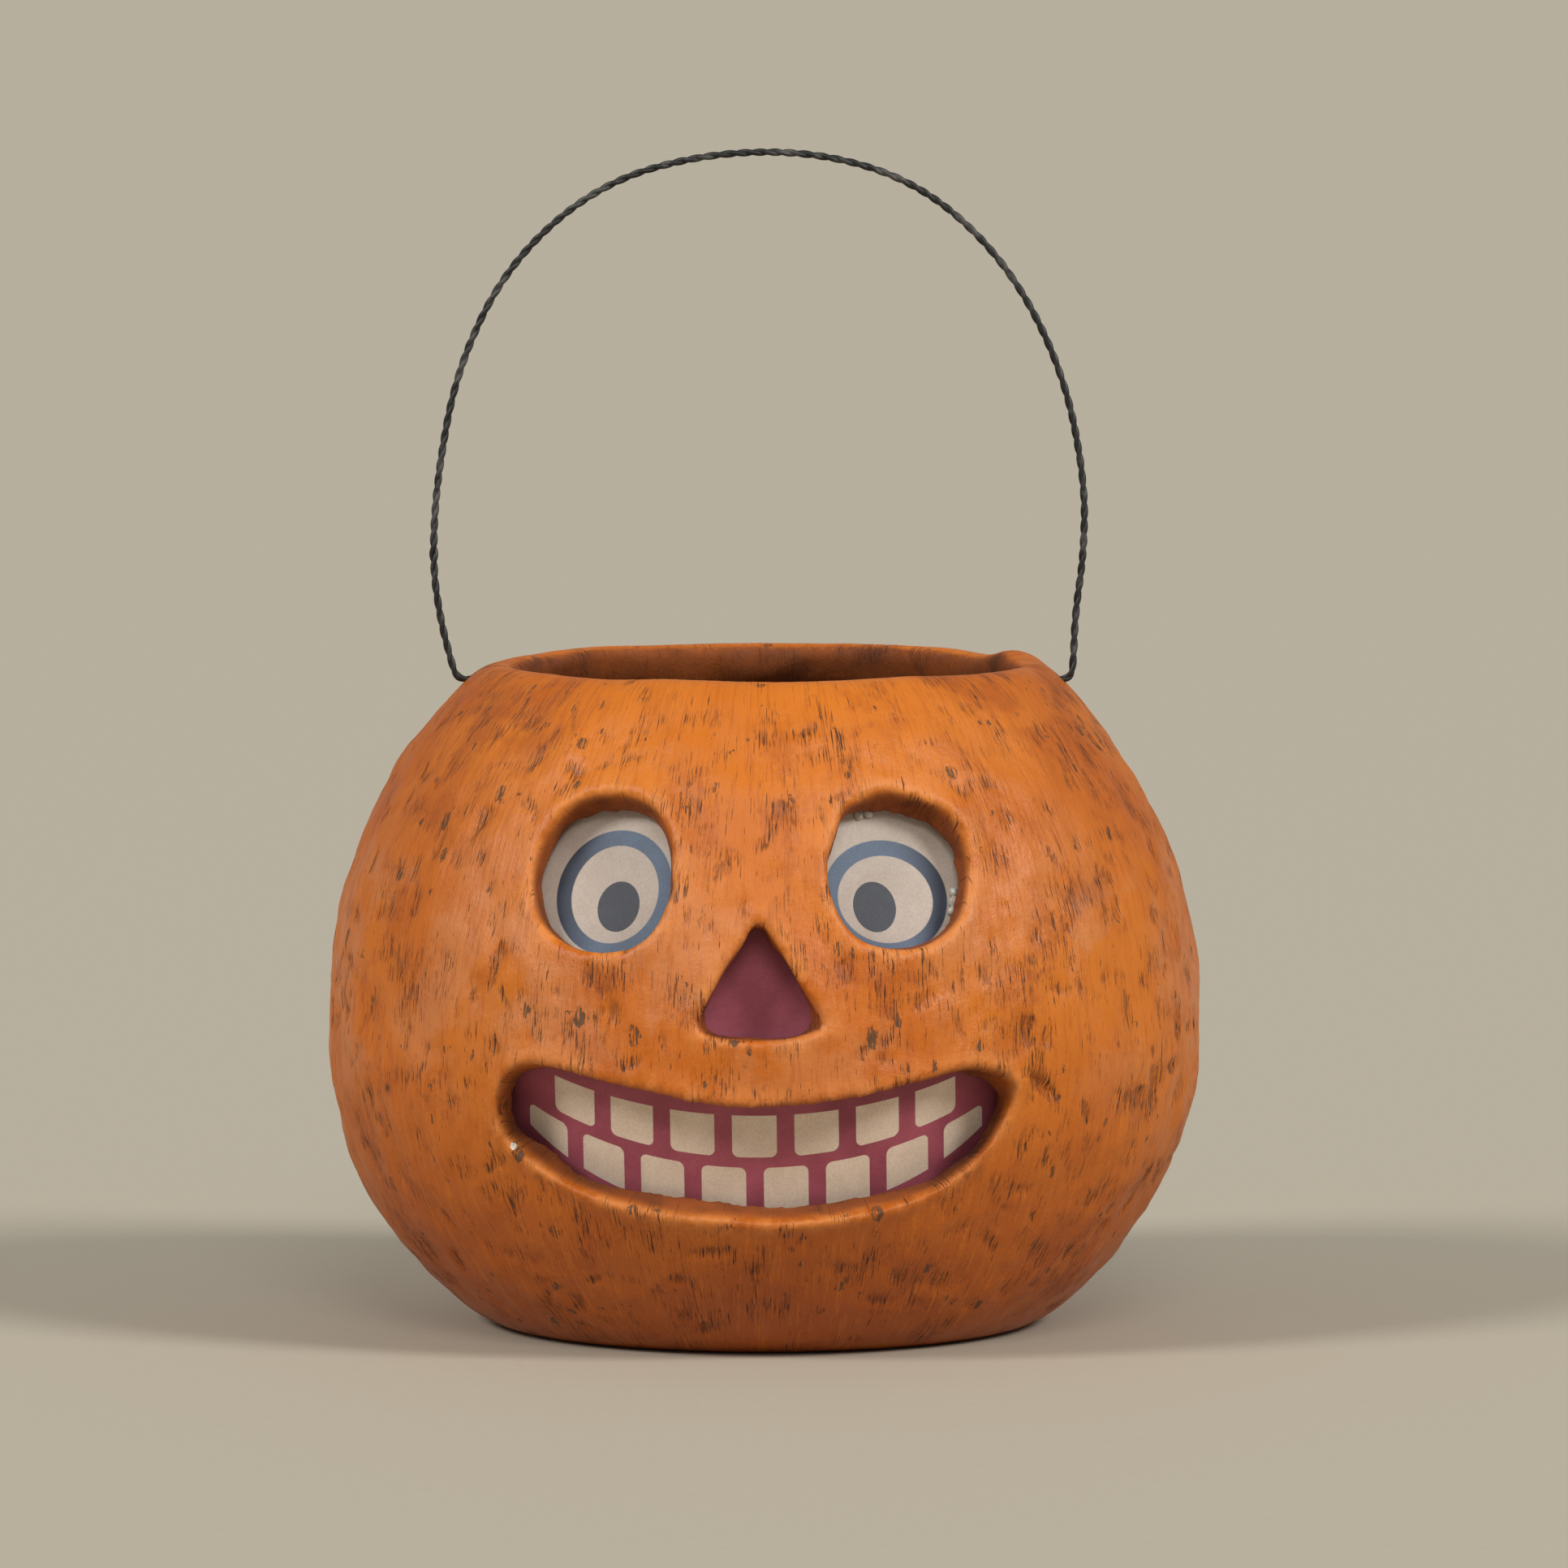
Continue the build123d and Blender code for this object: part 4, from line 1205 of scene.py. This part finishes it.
def settle(piece, body, node):
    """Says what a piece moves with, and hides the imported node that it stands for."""
    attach(piece, body)
    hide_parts(node)


for make in (
    make_brush_strokes, make_mottle, make_scabs, make_grain, make_printed_oval, make_tooth_row, make_chip,
):
    make()

settle(moulded_shell(), "pail", "pail_shell")

left_ink = eye_print("left_eye_print", LEFT_OVALS, -1)
left_eye = eye_card("printed_left_eye_card", LEFT_EYE, 14, left_ink)
right_ink = eye_print("right_eye_print", RIGHT_OVALS, 1)
right_eye = eye_card("printed_right_eye_card", RIGHT_EYE, 15, right_ink)
nose_outline = smooth_loop(NOSE_CARD, 42)
nose = flat_card("raspberry_nose_card", NOSE, NOSE_CARD_DEPTH, nose_outline, raspberry_card(), NOSE_CARD_BOW)
settle(left_eye, "pail", "left_eye_card")
settle(right_eye, "pail", "right_eye_card")
settle(nose, "pail", "nose_card")
settle(mouth_card(), "pail", "mouth_card")

glue = clear_glue()
left_dabs = eye_dabs(LEFT_EYE, 40)
right_dabs = eye_dabs(RIGHT_EYE, -40) + seen_beads()
nose_dabs = back_dabs(NOSE, NOSE_CARD_DEPTH, np.array(NOSE_DABS) * MM)
settle(glue_dabs("left_eye_dabs", left_dabs, glue), "pail", "left_eye_glue")
settle(glue_dabs("right_eye_dabs", right_dabs, glue), "pail", "right_eye_glue")
settle(glue_dabs("nose_dabs", nose_dabs, glue), "pail", "nose_glue")
settle(glue_dabs("mouth_dabs", mouth_dabs(), glue), "pail", "mouth_glue")

line, along = bail_line()
wire_finish = black_wire()
settle(wire("bail_strand_a", strand(line, along, 1), wire_finish), "bail", "bail_wire_a")
settle(wire("bail_strand_b", strand(line, along, -1), wire_finish), "bail", "bail_wire_b")

# Floor, light and camera
corners = [(x * FLOOR_REACH, y * FLOOR_REACH, 0) for x, y in ((-1, -1), (1, -1), (1, 1), (-1, 1))]
floor = add_piece("floor", corners, [(0, 1, 2, 3)], pale_floor())

sky = bpy.data.worlds.new("studio")
sky.use_nodes = True
sky.node_tree.nodes["Background"].inputs["Color"].default_value = SKY_COLOUR
sky.node_tree.nodes["Background"].inputs["Strength"].default_value = SKY_STRENGTH
bpy.context.scene.world = sky

for name, tilt, azimuth, spread, energy in LIGHTS:
    lamp = bpy.data.lights.new(name, "SUN")
    lamp.energy = energy
    lamp.angle = math.radians(spread)
    light = bpy.data.objects.new(name, lamp)
    light.rotation_euler = (math.radians(tilt), 0, math.radians(azimuth))
    bpy.context.scene.collection.objects.link(light)

lens = bpy.data.cameras.new("camera")
lens.sensor_width = 36
lens.lens = lens.sensor_width * FOCAL_PIXELS / PHOTO_PIXELS
lens.clip_end = 400
camera = bpy.data.objects.new("camera", lens)
camera.location = CAMERA_PLACE
camera.rotation_euler = (math.pi / 2 - CAMERA_PITCH, 0, -CAMERA_YAW)
bpy.context.scene.collection.objects.link(camera)
bpy.context.scene.camera = camera
bpy.context.scene.view_settings.view_transform = "Standard"
